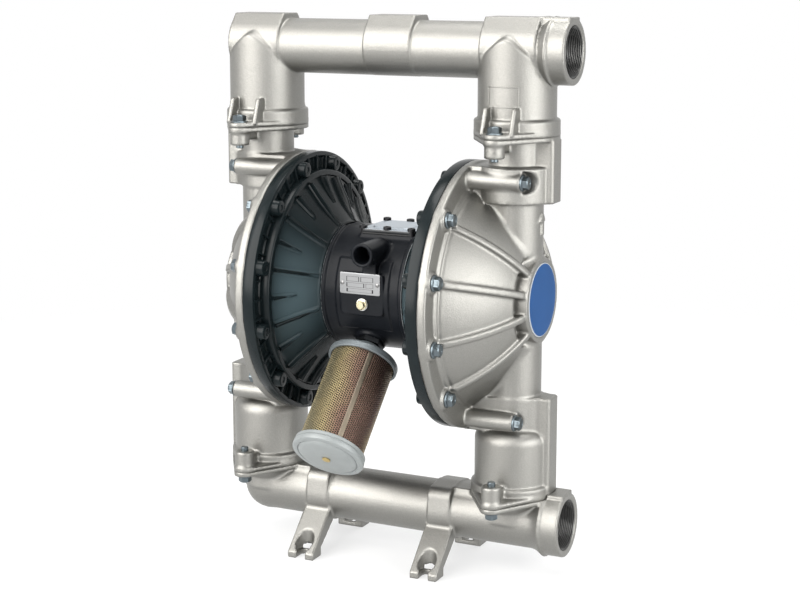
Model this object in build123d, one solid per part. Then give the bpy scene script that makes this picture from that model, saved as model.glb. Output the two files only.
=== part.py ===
from build123d import *
from math import cos, radians, sin, sqrt
import os

# Air operated double diaphragm pump with a stainless fluid section and a black air section.
# Millimetres, +Z up. The origin is on the floor, midway between the four feet and under the
# middle of the air motor. +X is the side of the ports and -Y the front with the air inlet.

# Levels and spacings
shaft_z = 344.0
outlet_z = 640.0
inlet_z = 68.0
outlet_joint_z = 541.5
inlet_joint_z = 102.0
riser_x = 170.0

# Clearances
thread_gap = 0.05
running_gap = 0.05
bolt_gap = 0.4
loose_gap = 0.3

# Manifold pipes and ports
pipe_r = 33.8
pipe_bore_r = 26.5
band_r = 37.0
flat_half = 18.0
flat_height = 40.0
end_band_half = 35.0
middle_band_x = 14.0
middle_band_half = 31.0
port_face_x = 241.0
port_r = 40.0
port_length = 24.0
port_cone = 9.0
port_thread_r = 29.5
port_thread_depth = 26.0
port_chamfer = 1.5

# Joints between manifolds and fluid covers
flange_t = 6.0
collar_r = 51.5
collar_height = 16.5
collar_cone = 6.0
ear_y = 70.0
ear_r = 13.5
ear_boss_r = 12.0
upper_ear_drop = 22.0
lower_ear_rise = 26.0
gusset_x = 18.0
gusset_t = 4.5
gusset_rise = 33.0

# Ball valves
chamber_outer_r = 47.0
chamber_r = 38.0
chamber_height = 52.0
passage_r = 25.0
seat_height = 12.0
seat_bore_r = 16.5
seat_cone_r = 20.0
seal_section_r = 1.75
ball_r = 25.4
ball_lift = 12.0
guide_t = 4.0
stop_t = 6.0

# Diaphragm joint
rim_x = 114.0
rim_r = 163.5
rim_t = 11.0
bolt_circle_r = 150.0
bolt_count = 12
bolt_pad_r = 13.0
bolt_pad_t = 3.0
bead_r = 141.7
bead_inner_r = 126.2
bead_t = 5.0
diaphragm_t = 4.0
convolute_height = 7.5

# Fluid cover
hub_face_x = 205.0
hub_r = 51.0
dome_r = 134.0
dome_wall = 8.0
dome_bulge = 7.0
ridge_width = 9.0
ridge_height = 5.0
riser_r = 33.0
web_inner = 118.0
web_outer = 161.0
web_half = 34.0
fin_reach = 52.0
fin_half = 15.0
fin_chamfer = 3.0
long_boss_r = 10.75
upper_boss_reach = 22.5
lower_boss_front = 16.0
lower_boss_rear = 30.0
bolt_collar_r = 46.0
counterbore_r = 11.75
badge_r = 44.8
badge_t = 2.4
badge_depth = 1.5

# Air motor
motor_half = 54.5
motor_r = 76.0
gasket_t = 1.0
shaft_r = 12.7
bushing_r = 16.0
bushing_length = 20.0
seal_r = 17.0
seal_length = 6.0
stroke = 15.0
stud_r = 8.0
stud_reach = 24.0
plate_r = 83.0
pilot_r = 3.5
pilot_drop = 38.0
pilot_ratio = 0.4
air_port_rise = 50.0
air_port_r = 4.0
pocket_x0, pocket_x1 = -14.0, 44.0
pocket_half = 30.0
pocket_floor = 30.0
cover_seat = motor_r - 5.0
cover_margin = 7.0
cover_t = 4.5
cover_gasket_t = 1.5
panel_rise = 1.5
pad_rise = 2.0
air_inlet_x = 12.0
air_inlet_rise = motor_r - 21.5
air_inlet_face = motor_r + 22.0
air_inlet_root = 33.0
neck_half = 9.0
air_inlet_r = 14.5
air_thread_r = 10.5
air_thread_depth = 22.0

# Air cover
cover_wall_t = 7.5
cover_hub_r = 78.0
ring_r = 133.0
ring_t = 7.0
trough_t = 10.0
rib_t = 5.0
rib_height = 8.0
boss_back = 22.0
cover_screw_circle = 50.0
cover_screw_grip = 9.0

# Muffler on a 45 degree exhaust port, placed by the distance along its axis
exhaust_angle = 51.1
exhaust_y = motor_r * cos(radians(exhaust_angle))
exhaust_drop = motor_r * sin(radians(exhaust_angle))
exhaust_boss_rise = 4.0
exhaust_boss_root = 26.0
nipple_r = 13.0
nipple_wall = 3.5
nipple_sink = 28.0
nipple_hex_r = 17.5
nipple_hex_t = 6.0
exhaust_boss_r = 19.0
cap_start = 13.0
cap_rim_start = 27.0
cap_rim_t = 9.0
tube_length = 129.0
cap_r = 43.6
tube_r = 39.7
tube_wall = 1.2
packing_r = 30.0
tie_rod_r = 3.0

# Bolts
bolt_r = 4.75
hex_across = 14.3
hex_height = 7.0
bolt_flange_r = 10.0
bolt_flange_t = 2.0
small_screw_r = 4.0

# Feet
foot_x = 85.0
foot_width = 36.0
foot_y = 80.5
foot_band = 30.0
sole_length = 24.0
toe_height = 7.0
slot_r = 6.4
slot_y = 67.0
pocket_r = 11.0

UP = (0, 0, 1)


def outline(start, *steps):
    """Closed face: a step is a point, for a straight run, or two points, for an arc through the first."""
    edges, here = [], start
    for step in steps:
        if isinstance(step[0], tuple):
            edges.append(ThreePointArc(here, step[0], step[1]))
            here = step[1]
        else:
            edges.append(Line(here, step))
            here = step
    edges.append(Line(here, start))
    return make_face(edges)


def turned_x(face, z=shaft_z):
    """Solid of revolution about a line along X, from a face of (x, radius) points."""
    return Pos(0, 0, z) * revolve(Plane.XZ * face, Axis.X)


def turned_z(face, x):
    """Solid of revolution about a riser's axis, from a face of (radius, z) points."""
    return Pos(x, 0, 0) * revolve(Plane.XZ * face, Axis.Z)


def rod(radius, start, direction, length):
    """Cylinder from a start point along a direction."""
    base = Plane(origin=start, z_dir=direction)
    return base * Cylinder(radius, length, align=(Align.CENTER, Align.CENTER, Align.MIN))


def rod_x(radius, x0, x1, y=0.0, z=shaft_z):
    return rod(radius, (x0, y, z), (1, 0, 0), x1 - x0)


def rod_z(radius, z0, z1, x=0.0, y=0.0):
    return rod(radius, (x, y, z0), UP, z1 - z0)


def block(x0, x1, y0, y1, z0, z1):
    """Box between two corners."""
    return Pos(x0, y0, z0) * Box(x1 - x0, y1 - y0, z1 - z0, align=(Align.MIN, Align.MIN, Align.MIN))


def other_side(shape):
    """The same piece on the other side of the pump, turned half round the vertical."""
    return Rot(0, 0, 180) * shape


def plate_x(face, thickness, angle):
    """Plate standing radially at an angle from +Y about the shaft, from a face of (x, radius) points."""
    plate = extrude(Plane.XZ * face, thickness / 2, both=True)
    return Pos(0, 0, shaft_z) * Rot(angle - 90, 0, 0) * plate


def bolt_angles():
    """Angles of the rim bolts from +Y about the shaft."""
    return [360.0 / bolt_count * (k + 0.5) for k in range(bolt_count)]


def is_long(angle):
    """True where a rim bolt runs through a long boss beside a riser."""
    return abs(sin(radians(angle))) > cos(radians(20))


def at_bolt(angle):
    return bolt_circle_r * cos(radians(angle)), shaft_z + bolt_circle_r * sin(radians(angle))


def hex_bolt(length, radius=bolt_r, across=hex_across, height=hex_height, flange=bolt_flange_r):
    """Flanged hexagon bolt: bearing face at the origin, head towards +Z, shank towards -Z."""
    head = rod(flange, (0, 0, 0), UP, bolt_flange_t)
    head += extrude(RegularPolygon(across / sqrt(3), 6), height)
    return head + rod(radius, (0, 0, -length), UP, length)


def place(shape, origin, direction):
    return Plane(origin=origin, z_dir=direction) * shape


def joint_outline(extra=0.0):
    """Plan of a manifold flange: the round collar drawn out to an ear at the front and the rear."""
    ears = [Pos(0, side * ear_y) * Circle(ear_r + extra) for side in (-1, 1)]
    return make_hull((Circle(collar_r + extra) + ears[0] + ears[1]).edges())


def joint_flange(x, z0, thickness):
    return extrude(Pos(x, 0, z0) * joint_outline(), thickness)


def ear_points(x):
    return [(x, side * ear_y) for side in (-1, 1)]


def valve_void(x, joint_z, top_z):
    """Seat counterbore, ball chamber and the passage above it."""
    seat_top = joint_z + seat_height
    void = rod_z(chamber_r + 2, joint_z, seat_top, x)
    void += rod_z(chamber_r, seat_top, seat_top + chamber_height, x)
    return void + rod_z(passage_r, seat_top + chamber_height, top_z, x)


def ball_cage(x, joint_z):
    """Four upright guides round the ball and the bar that stops its lift."""
    low = joint_z + seat_height + 4
    high = joint_z + seat_height + chamber_height
    inner = ball_r + 2 * loose_gap
    guide = block(inner, chamber_r + 1, -guide_t / 2, guide_t / 2, low, high)
    cage = [Pos(x, 0, 0) * Rot(0, 0, 45 + 90 * k) * guide for k in range(4)]
    stop_z = ball_rest(joint_z) + ball_r + ball_lift + loose_gap
    cage.append(block(x - passage_r - 1, x + passage_r + 1, -stop_t / 2, stop_t / 2, stop_z, stop_z + stop_t))
    return cage


def ball_rest(joint_z):
    """Height of the ball's centre when it rests on the 45 degree cone of its seat."""
    contact_r = ball_r * cos(radians(45))
    contact_z = joint_z + seat_height - (seat_cone_r - contact_r)
    return contact_z + contact_r + running_gap * sqrt(2)


def seat(x, joint_z):
    """Valve seat: a thick ring with a cone for the ball and a rebate for its seal."""
    outer = chamber_r + 2 - loose_gap
    rebate = 2 * seal_section_r + 0.1
    cone = seat_cone_r - seat_bore_r
    face = outline(
        (seat_bore_r, 0),
        (outer - rebate, 0),
        (outer - rebate, rebate),
        (outer, rebate),
        (outer, seat_height),
        (seat_cone_r, seat_height),
        (seat_bore_r, seat_height - cone),
    )
    return Pos(0, 0, joint_z) * turned_z(face, x)


def seat_seal(x, joint_z):
    """Seal ring in the seat's rebate."""
    centre_r = chamber_r + 2 - loose_gap - seal_section_r - 0.05
    return Pos(x, 0, joint_z + seal_section_r + 0.05) * Torus(centre_r, seal_section_r)


def manifold_pipe(z, x0, x1):
    return rod_x(pipe_r, x0, x1, z=z)


def flat_band(z, x0, x1):
    """Raised band round a manifold pipe: tangent to it below and flat on top."""
    rise = band_r - pipe_r
    lower = block(x0, x1, -band_r, band_r, z - pipe_r, z + flat_height)
    band = rod_x(band_r, x0, x1, z=z + rise) & lower
    return band + block(x0, x1, -flat_half, flat_half, z, z + flat_height)


def port_end(z):
    """Threaded end of a manifold: a cone up to a round boss with a flat on top."""
    start = port_face_x - port_length
    face = outline(
        (start - port_cone, 0),
        (start - port_cone, pipe_r),
        (start, port_r),
        (port_face_x - port_chamfer, port_r),
        (port_face_x, port_r - port_chamfer),
        (port_face_x, 0),
    )
    pad = block(start - port_cone, port_face_x - port_chamfer, -flat_half, flat_half, z, z + flat_height)
    return turned_x(face, z) + pad


def pipe_void(z):
    """Bore of a manifold with its port thread at the +X end."""
    bore = rod_x(pipe_bore_r, -riser_x, port_face_x, z=z)
    mouth = rod_x(port_thread_r, port_face_x - port_thread_depth, port_face_x, z=z)
    return bore + mouth + Pos(-riser_x, 0, z) * Sphere(pipe_bore_r)


def outlet_manifold():
    """Top casting: two ball chambers joined by a pipe, with the outlet port at its +X end."""
    body = manifold_pipe(outlet_z, -riser_x, port_face_x - port_length)
    body += flat_band(outlet_z, middle_band_x - middle_band_half, middle_band_x + middle_band_half)
    body += port_end(outlet_z)
    collar_top = outlet_joint_z + collar_height
    chamber = outline(
        (0, outlet_joint_z),
        (collar_r, outlet_joint_z),
        (collar_r, collar_top),
        (chamber_outer_r, collar_top + collar_cone),
        (chamber_outer_r, outlet_z - 14),
        ((chamber_outer_r - 2.6, outlet_z + 3), (chamber_outer_r - 9, outlet_z + 18)),
        (0, outlet_z + 18),
    )
    for x in (-riser_x, riser_x):
        body += flat_band(outlet_z, x - end_band_half, x + end_band_half)
        body += turned_z(chamber, x)
        body += joint_flange(x, outlet_joint_z, flange_t)
        for side in (-1, 1):
            for offset in (-gusset_x, gusset_x):
                rib = Plane.YZ * outline(
                    (side * (ear_y + 8), outlet_joint_z + flange_t - 1),
                    (side * 30, outlet_joint_z + flange_t - 1),
                    (side * 30, outlet_joint_z + gusset_rise),
                    (side * (chamber_outer_r - 2), outlet_joint_z + gusset_rise),
                )
                body += Pos(x + offset, 0, 0) * extrude(rib, gusset_t / 2, both=True)
    body -= pipe_void(outlet_z)
    for x in (-riser_x, riser_x):
        body -= valve_void(x, outlet_joint_z, outlet_z)
        for point in ear_points(x):
            body -= rod_z(bolt_r + bolt_gap, outlet_joint_z, outlet_joint_z + flange_t, *point)
            body -= rod_z(bolt_flange_r + 1.5, outlet_joint_z + flange_t, outlet_joint_z + gusset_rise, *point)
        for piece in ball_cage(x, outlet_joint_z):
            body += piece
    return body


def foot(side):
    """One leg under the inlet pipe, sloping to a toe with a bolt pocket and an open slot."""
    inner = foot_y - sole_length
    leg = Plane.YZ * outline(
        (side * foot_y, 0),
        (side * foot_y, toe_height),
        (side * 29, inlet_z - 10),
        (0, inlet_z - 10),
        (0, inlet_z - pipe_r + 4),
        (side * 22, inlet_z - pipe_r + 4),
        (side * inner, toe_height + 5),
        (side * inner, 0),
    )
    solid = extrude(leg, foot_width / 2, both=True)
    solid -= rod_z(pocket_r, toe_height, inlet_z, 0, side * slot_y)
    solid -= rod_z(slot_r, 0, toe_height, 0, side * slot_y)
    near, far = sorted((side * slot_y, side * (foot_y + 1)))
    solid -= block(-slot_r, slot_r, near, far, 0, toe_height + 8)
    return solid


def inlet_manifold():
    """Bottom casting: a pipe with an elbow at one end, the inlet port at the other, and four feet."""
    body = manifold_pipe(inlet_z, -riser_x, port_face_x - port_length)
    body += Pos(-riser_x, 0, inlet_z) * Sphere(pipe_r)
    body += port_end(inlet_z)
    stub_top = inlet_joint_z - flange_t
    stub = outline(
        (0, inlet_z), (pipe_r, inlet_z), (chamber_outer_r, stub_top), (chamber_outer_r, stub_top + 1), (0, stub_top + 1)
    )
    for x in (-riser_x, riser_x):
        body += turned_z(stub, x)
        body += joint_flange(x, stub_top, flange_t)
        inner = x - 40 if x > 0 else x + 40
        edge = foot_x - foot_band / 2 if x > 0 else -foot_x + foot_band / 2
        x0, x1 = sorted((edge, inner))
        body += block(x0, x1, -flat_half, flat_half, inlet_z, inlet_z + flat_height - 8)
    for x in (-foot_x, foot_x):
        body += flat_band(inlet_z, x - foot_band / 2, x + foot_band / 2)
        for side in (-1, 1):
            body += Pos(x, 0, 0) * foot(side)
    body -= pipe_void(inlet_z)
    for x in (-riser_x, riser_x):
        body -= rod_z(passage_r, inlet_z, inlet_joint_z, x)
        body -= rod_z(collar_r + 1, inlet_joint_z, inlet_joint_z + lower_ear_rise, x)
        for point in ear_points(x):
            body -= rod_z(bolt_r + bolt_gap, stub_top, inlet_joint_z, *point)
            body -= rod_z(bolt_flange_r + 1.5, stub_top - 20, stub_top, *point)
    return body


def dome_line(offset):
    """Start, middle and end points of the fluid cover's domed wall, moved outwards by an offset."""
    x0, r0 = rim_x + rim_t + 6, dome_r
    x1, r1 = hub_face_x - 7, hub_r
    run, fall = x1 - x0, r0 - r1
    span = sqrt(run * run + fall * fall)
    out_x, out_r = fall / span, run / span
    middle = ((x0 + x1) / 2 + (dome_bulge + offset) * out_x, (r0 + r1) / 2 + (dome_bulge + offset) * out_r)
    return (x0 + offset * out_x, r0 + offset * out_r), middle, (x1 + offset * out_x, r1 + offset * out_r)


def fluid_cover():
    """Right-hand fluid cover casting: dome, riser, lower ball chamber, webs, fins and bolt bosses."""
    rim_front = rim_x + rim_t
    start, middle, end = dome_line(0)
    shell = turned_x(outline(
        (rim_x, 0), (rim_x, rim_r), (rim_front - 2, rim_r), (rim_front, rim_r - 2), (rim_front, dome_r + 5),
        start, (middle, end), (hub_face_x - 1, hub_r), (hub_face_x, hub_r - 1), (hub_face_x, 0),
    ))
    upper_flange_z = outlet_joint_z - flange_t
    body = shell + rod_z(riser_r, inlet_joint_z + seat_height + chamber_height, outlet_joint_z, riser_x)
    top, low = shaft_z - web_outer, inlet_joint_z + collar_height
    chamber = outline(
        (0, inlet_joint_z), (collar_r, inlet_joint_z), (collar_r, low - 3.5), (collar_r - 1, low - 2),
        (chamber_outer_r + 1, low), ((chamber_outer_r + 1.5, (low + top) / 2), (chamber_outer_r - 5, top + 1)), (0, top + 1),
    )
    body += turned_z(chamber, riser_x)
    body += joint_flange(riser_x, inlet_joint_z, flange_t)
    body += joint_flange(riser_x, upper_flange_z, flange_t)
    for point in ear_points(riser_x):
        body += rod_z(ear_boss_r, outlet_joint_z - upper_ear_drop, outlet_joint_z, *point)
        body += rod_z(ear_boss_r, inlet_joint_z, inlet_joint_z + lower_ear_rise, *point)
    for side in (-1, 1):
        body += ear_bridge(side)
    fin_x = riser_x + fin_reach
    for low, high in ((inlet_joint_z + flange_t, shaft_z - web_inner), (shaft_z + web_inner, upper_flange_z)):
        fin = block(riser_x, fin_x, -fin_half, fin_half, low, high)
        body += chamfer(fin.edges().filter_by(Axis.Z).sort_by(Axis.X)[-2:], fin_chamfer)
    corner = Pos(rim_x + 6, 0) * Rectangle(8, 2 * web_half)
    tail = Pos(riser_x + 36, 0) * Rectangle(6, 2 * fin_half)
    plan = make_hull((corner + Pos(riser_x, 0) * Circle(riser_r + 1) + tail).edges())
    for low in (shaft_z - web_outer, shaft_z + web_inner):
        body += extrude(Pos(0, 0, low) * plan, web_outer - web_inner)
    body += rod_z(bolt_collar_r, shaft_z + web_inner, shaft_z + web_outer, riser_x) & block(
        riser_x - 40, riser_x + 60, -60, 0, shaft_z, outlet_z
    )
    start, middle, end = dome_line(ridge_height)
    back, back_middle, back_end = dome_line(-dome_wall / 2)
    ridge = outline(
        (rim_x + 2, bolt_circle_r - 11), (rim_front + bolt_pad_t - 1, bolt_circle_r - 11),
        start, (middle, end), back_end, (back_middle, back),
    )
    for angle in bolt_angles():
        y, z = at_bolt(angle)
        if is_long(angle):
            body += rod_x(long_boss_r, rim_x, long_boss_end(y, z), y, z)
        else:
            body += rod_x(bolt_pad_r, rim_x, rim_front + bolt_pad_t, y, z)
            body += plate_x(ridge, ridge_width, angle)
    for angle in bolt_angles():
        y, z = at_bolt(angle)
        body -= rod_x(bolt_r + bolt_gap, rim_x, fin_x, y, z)
        if is_long(angle):
            body -= rod_x(counterbore_r, long_boss_end(y, z), fin_x, y, z)
    body -= cavity()
    body -= rod_z(passage_r, shaft_z, outlet_joint_z, riser_x)
    body -= valve_void(riser_x, inlet_joint_z, shaft_z)
    body -= rod_x(badge_r + loose_gap, hub_face_x - badge_depth, hub_face_x)
    for point in ear_points(riser_x):
        body -= rod_z(bolt_r + thread_gap, outlet_joint_z - upper_ear_drop, outlet_joint_z, *point)
        body -= rod_z(bolt_r + thread_gap, inlet_joint_z, inlet_joint_z + lower_ear_rise, *point)
    for piece in ball_cage(riser_x, inlet_joint_z):
        body += piece
    return body


def ear_bridge(side):
    """Walls from the riser and the lower chamber out to the ear bosses on one side."""
    near, far = sorted((side * (riser_r - 4), side * (ear_y - 4)))
    bridge = block(riser_x - 4, riser_x + 4, near, far, outlet_joint_z - flange_t - 9, outlet_joint_z - flange_t)
    near, far = sorted((side * (chamber_outer_r - 4), side * (ear_y - 4)))
    return bridge + block(riser_x - 9, riser_x + 9, near, far, inlet_joint_z, inlet_joint_z + lower_ear_rise - 6)


def long_boss_end(y, z):
    """How far a long boss reaches along X: the lower two differ, front and rear."""
    if z > shaft_z:
        return riser_x + upper_boss_reach
    return riser_x + (lower_boss_front if y < 0 else lower_boss_rear)


def cavity():
    """Space in the fluid cover between the diaphragm and the dome, with the bead's recess."""
    start, middle, end = dome_line(-dome_wall)
    lip = rim_x + bead_t / 2
    return turned_x(outline(
        (rim_x, 0), (rim_x, bead_r + loose_gap), (lip, bead_r + loose_gap), (lip, bead_inner_r), start,
        (middle, (end[0] - 2, end[1])), (hub_face_x - 14, hub_r - 12), (hub_face_x - 14, 0),
    ))


def air_cover():
    """Right-hand air cover: a dished plate with ribs on the motor side and bosses for the rim bolts."""
    base = motor_half + gasket_t
    floor = base + cover_wall_t
    lip = rim_x - bead_t / 2
    ring_x = rim_x - boss_back
    body = turned_x(outline(
        (base, shaft_r + 0.5), (base, cover_hub_r - 2), (base + 2, cover_hub_r), (ring_x + 2, ring_r - 2),
        (ring_x, ring_r), (ring_x, ring_r + ring_t), (rim_x - trough_t, ring_r + ring_t + 1),
        (rim_x - trough_t, rim_r - 6), (rim_x - 14, rim_r - 5), (rim_x - 14, rim_r), (rim_x, rim_r),
        (rim_x, bead_r + loose_gap), (lip, bead_r + loose_gap), (lip, bead_inner_r), (lip - 3, bead_inner_r - 2),
        (floor + 1.5, cover_hub_r - 6), (floor, cover_hub_r - 9), (floor, shaft_r + 0.5),
    ))
    long_rib = outline(
        (base + 4, cover_hub_r - 4), (base, cover_hub_r - 1), (ring_x + 1 - rib_height, ring_r - 8),
        (ring_x, ring_r + 2), (ring_x + 6, ring_r - 2),
    )
    half = (cover_hub_r + ring_r) / 2
    half_x = (base + ring_x) / 2
    short_rib = outline(
        (half_x + 6, half - 4), (half_x - 2, half - 1), (ring_x + 1 - rib_height, ring_r - 8),
        (ring_x, ring_r + 2), (ring_x + 6, ring_r - 2),
    )
    for angle in bolt_angles():
        y, z = at_bolt(angle)
        body += plate_x(long_rib, rib_t, angle)
        body += plate_x(short_rib, rib_t - 1, angle + 180 / bolt_count)
        body += rod_x(bolt_pad_r - 1, ring_x, rim_x - bead_t, y, z)
    for angle in bolt_angles():
        y, z = at_bolt(angle)
        body -= rod_x(bolt_r + thread_gap, ring_x + 3, rim_x, y, z)
    body -= rod_x(seal_r, base, base + seal_length)
    body -= rod_x(pilot_r + running_gap, base, floor, z=shaft_z - pilot_drop)
    body -= rod_x(air_port_r, base, floor, z=shaft_z + air_port_rise)
    for y, z in cover_screw_points():
        body -= rod_x(small_screw_r + bolt_gap, base, floor, y, z)
    return body


def cover_screw_points():
    return [
        (cover_screw_circle * cos(radians(60 * k)), shaft_z + cover_screw_circle * sin(radians(60 * k)))
        for k in range(6)
    ]


def cover_screws():
    """Socket screws that hold one air cover to the motor, their heads inside the air chamber."""
    floor = motor_half + gasket_t + cover_wall_t
    length = cover_wall_t + gasket_t + cover_screw_grip
    screw = rod(6.5, (0, 0, 0), UP, 6) - extrude(RegularPolygon(3.6, 6), 6) + rod(6.5, (0, 0, 0), UP, 2)
    screw += rod(small_screw_r, (0, 0, -length), UP, length)
    return [place(screw, (floor, y, z), (1, 0, 0)) for y, z in cover_screw_points()]


def cover_gasket():
    """Flat gasket between the motor and an air cover."""
    face = outline((motor_half, seal_r + 3), (motor_half, motor_r - 3), (motor_half + gasket_t, motor_r - 3),
                   (motor_half + gasket_t, seal_r + 3))
    body = turned_x(face)
    body -= rod_x(pilot_r + 1, motor_half, motor_half + gasket_t, z=shaft_z - pilot_drop)
    body -= rod_x(air_port_r, motor_half, motor_half + gasket_t, z=shaft_z + air_port_rise)
    for y, z in cover_screw_points():
        body -= rod_x(small_screw_r + bolt_gap, motor_half, motor_half + gasket_t, y, z)
    return body


def along_exhaust(distance):
    """Point on the exhaust axis, measured outwards from the motor's surface."""
    step = distance * sqrt(0.5)
    return (0, -exhaust_y - step, shaft_z - exhaust_drop - step)


EXHAUST = (0, -1, -1)


def exhaust_turned(face):
    """Solid of revolution about the exhaust axis, from a face of (radius, distance) points."""
    return Plane(origin=along_exhaust(0), x_dir=(1, 0, 0), z_dir=EXHAUST) * revolve(Plane.XZ * face, Axis.Z)


def rounded_pad(x0, x1, z0, z1, y_face, depth, radius):
    """Pad on the front of the motor with rounded corners."""
    plan = Pos((x0 + x1) / 2, (z0 + z1) / 2) * RectangleRounded(x1 - x0, z1 - z0, radius)
    return extrude(Pos(0, -y_face, shaft_z) * (Plane.XZ * plan), -depth)


def motor_housing():
    """Air motor housing with the valve pocket on top, air inlet in front and exhaust below."""
    body = turned_x(outline(
        (-motor_half, 0), (-motor_half, motor_r - 2), (2 - motor_half, motor_r), (motor_half - 2, motor_r),
        (motor_half, motor_r - 2), (motor_half, 0),
    ))
    front = -motor_r - pad_rise
    panel = rod_x(motor_r + panel_rise, -34, 37) & block(-34, 37, front, 0, shaft_z - 42, shaft_z + 42)
    body += panel + rounded_pad(-27, 31, -23, 29, motor_r + pad_rise, 20, 6)
    inlet = (air_inlet_x, -air_inlet_face, shaft_z + air_inlet_rise)
    body += rod(air_inlet_r, inlet, (0, 1, 0), air_inlet_face - motor_r + air_inlet_root)
    neck = (air_inlet_x - neck_half, air_inlet_x + neck_half)
    body += block(*neck, front, front + 20, shaft_z + 20, shaft_z + air_inlet_rise)
    body += rod(exhaust_boss_r, along_exhaust(exhaust_boss_rise), (0, 1, 1), exhaust_boss_rise + exhaust_boss_root)
    seat_z = shaft_z + cover_seat
    x0, x1 = pocket_x0 - cover_margin, pocket_x1 + cover_margin
    half = pocket_half + cover_margin
    body += block(x0, x1, -half, half, shaft_z + 40, seat_z)
    body -= block(x0, x1, -half, half, seat_z, shaft_z + motor_r + 5)
    body -= block(pocket_x0, pocket_x1, -pocket_half, pocket_half, shaft_z + pocket_floor, seat_z)
    body -= rod_x(shaft_r + 1.5, -motor_half, motor_half)
    for side in (-1, 1):
        x0, x1 = sorted((side * motor_half, side * (motor_half - bushing_length)))
        body -= rod_x(bushing_r + running_gap, x0, x1)
        for y, z in cover_screw_points():
            x0, x1 = sorted((side * motor_half, side * (motor_half - cover_screw_grip)))
            body -= rod_x(small_screw_r + thread_gap, x0, x1, y, z)
    body -= rod_x(pilot_r + running_gap, -motor_half, motor_half, z=shaft_z - pilot_drop)
    body -= rod_x(air_port_r, -motor_half, motor_half, z=shaft_z + air_port_rise)
    body -= rod(air_thread_r, inlet, (0, 1, 0), air_thread_depth)
    body -= rod(air_thread_r - 3, inlet, (0, 1, 0), air_inlet_face - pocket_half)
    nipple_hole = exhaust_boss_rise + nipple_sink + 2
    body -= rod(nipple_r + thread_gap, along_exhaust(exhaust_boss_rise), (0, 1, 1), nipple_hole)
    body -= rod_z(5, shaft_z - pilot_drop, shaft_z + pocket_floor, 0, -25)
    for x, y in cover_bolt_points():
        body -= rod_z(3 + thread_gap, seat_z - 12, seat_z, x, y)
    body -= rod(small_screw_r + thread_gap, (3, front, shaft_z - 9), (0, 1, 0), 12)
    for x, z in rivet_points():
        body -= rod(1.5 + thread_gap, (x, front, z), (0, 1, 0), 6)
    return body


def cover_plan(gap=0.0):
    width = pocket_x1 - pocket_x0 + 2 * cover_margin
    depth = 2 * (pocket_half + cover_margin)
    return Pos((pocket_x0 + pocket_x1) / 2, 0) * RectangleRounded(width - gap, depth - gap, 6)


def cover_bolt_points():
    """Screw places round the valve pocket."""
    inset = cover_margin / 2
    xs = (pocket_x0 - inset, (pocket_x0 + pocket_x1) / 2, pocket_x1 + inset)
    y = pocket_half + inset
    return [(x, side * y) for x in xs for side in (-1, 1)]


def valve_cover():
    """Plate that closes the valve pocket, and the gasket under it."""
    seat_z = shaft_z + cover_seat
    gasket = extrude(Pos(0, 0, seat_z) * cover_plan(), cover_gasket_t)
    plate = extrude(Pos(0, 0, seat_z + cover_gasket_t) * cover_plan(), cover_t)
    plate += extrude(
        Pos((pocket_x0 + pocket_x1) / 2, 0, seat_z + cover_gasket_t)
        * RectangleRounded(pocket_x1 - pocket_x0 - 8, 2 * pocket_half - 8, 8), cover_t + 1.5
    )
    gasket -= block(pocket_x0, pocket_x1, -pocket_half, pocket_half, seat_z, seat_z + cover_gasket_t)
    for x, y in cover_bolt_points():
        hole = rod_z(3 + bolt_gap, seat_z, seat_z + cover_gasket_t + cover_t, x, y)
        gasket -= hole
        plate -= hole
    top = seat_z + cover_gasket_t + cover_t
    screw = rod(5, (0, 0, 0), UP, 5) + rod(3, (0, 0, -16), UP, 16)
    screws = [Pos(x, y, top) * screw for x, y in cover_bolt_points()]
    return gasket, plate, screws


def rivet_points():
    return [(x, shaft_z + 16) for x in (-23.5, 23.5)]


write_list = {}


def write(name, shape):
    """Keeps a piece, or a group of like pieces, under the name of its file."""
    write_list[name] = Compound(shape) if isinstance(shape, list) else shape


def both_sides(name, shape):
    write(name + "_right", shape)
    write(name + "_left", [other_side(s) for s in shape] if isinstance(shape, list) else other_side(shape))


# Castings of the fluid section
both_sides("fluid_cover", fluid_cover())
write("outlet_manifold", outlet_manifold())
write("inlet_manifold", inlet_manifold())

# Ball valves, named by their manifold and side
for level, joint_z in (("outlet", outlet_joint_z), ("inlet", inlet_joint_z)):
    for hand, x in (("right", riser_x), ("left", -riser_x)):
        write(f"{level}_seat_{hand}", seat(x, joint_z))
        write(f"{level}_seat_seal_{hand}", seat_seal(x, joint_z))
        write(f"{level}_ball_{hand}", Pos(x, 0, ball_rest(joint_z)) * Sphere(ball_r))

# Bolts of the fluid section
rim_bolts, long_bolts = [], []
tip_x = rim_x - boss_back + 4
for angle in bolt_angles():
    y, z = at_bolt(angle)
    bearing = long_boss_end(y, z) if is_long(angle) else rim_x + rim_t + bolt_pad_t
    bolt = place(hex_bolt(bearing - tip_x), (bearing, y, z), (1, 0, 0))
    (long_bolts if is_long(angle) else rim_bolts).append(bolt)
both_sides("rim_bolts", rim_bolts)
both_sides("long_bolts", long_bolts)
outlet_bolts, inlet_bolts = [], []
for x in (-riser_x, riser_x):
    for ex, ey in ear_points(x):
        down = hex_bolt(flange_t + upper_ear_drop + 4)
        outlet_bolts.append(place(down, (ex, ey, outlet_joint_z + flange_t), UP))
        up = hex_bolt(flange_t + lower_ear_rise + 5)
        inlet_bolts.append(place(up, (ex, ey, inlet_joint_z - flange_t), (0, 0, -1)))
write("outlet_manifold_bolts", outlet_bolts)
write("inlet_manifold_bolts", inlet_bolts)

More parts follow.
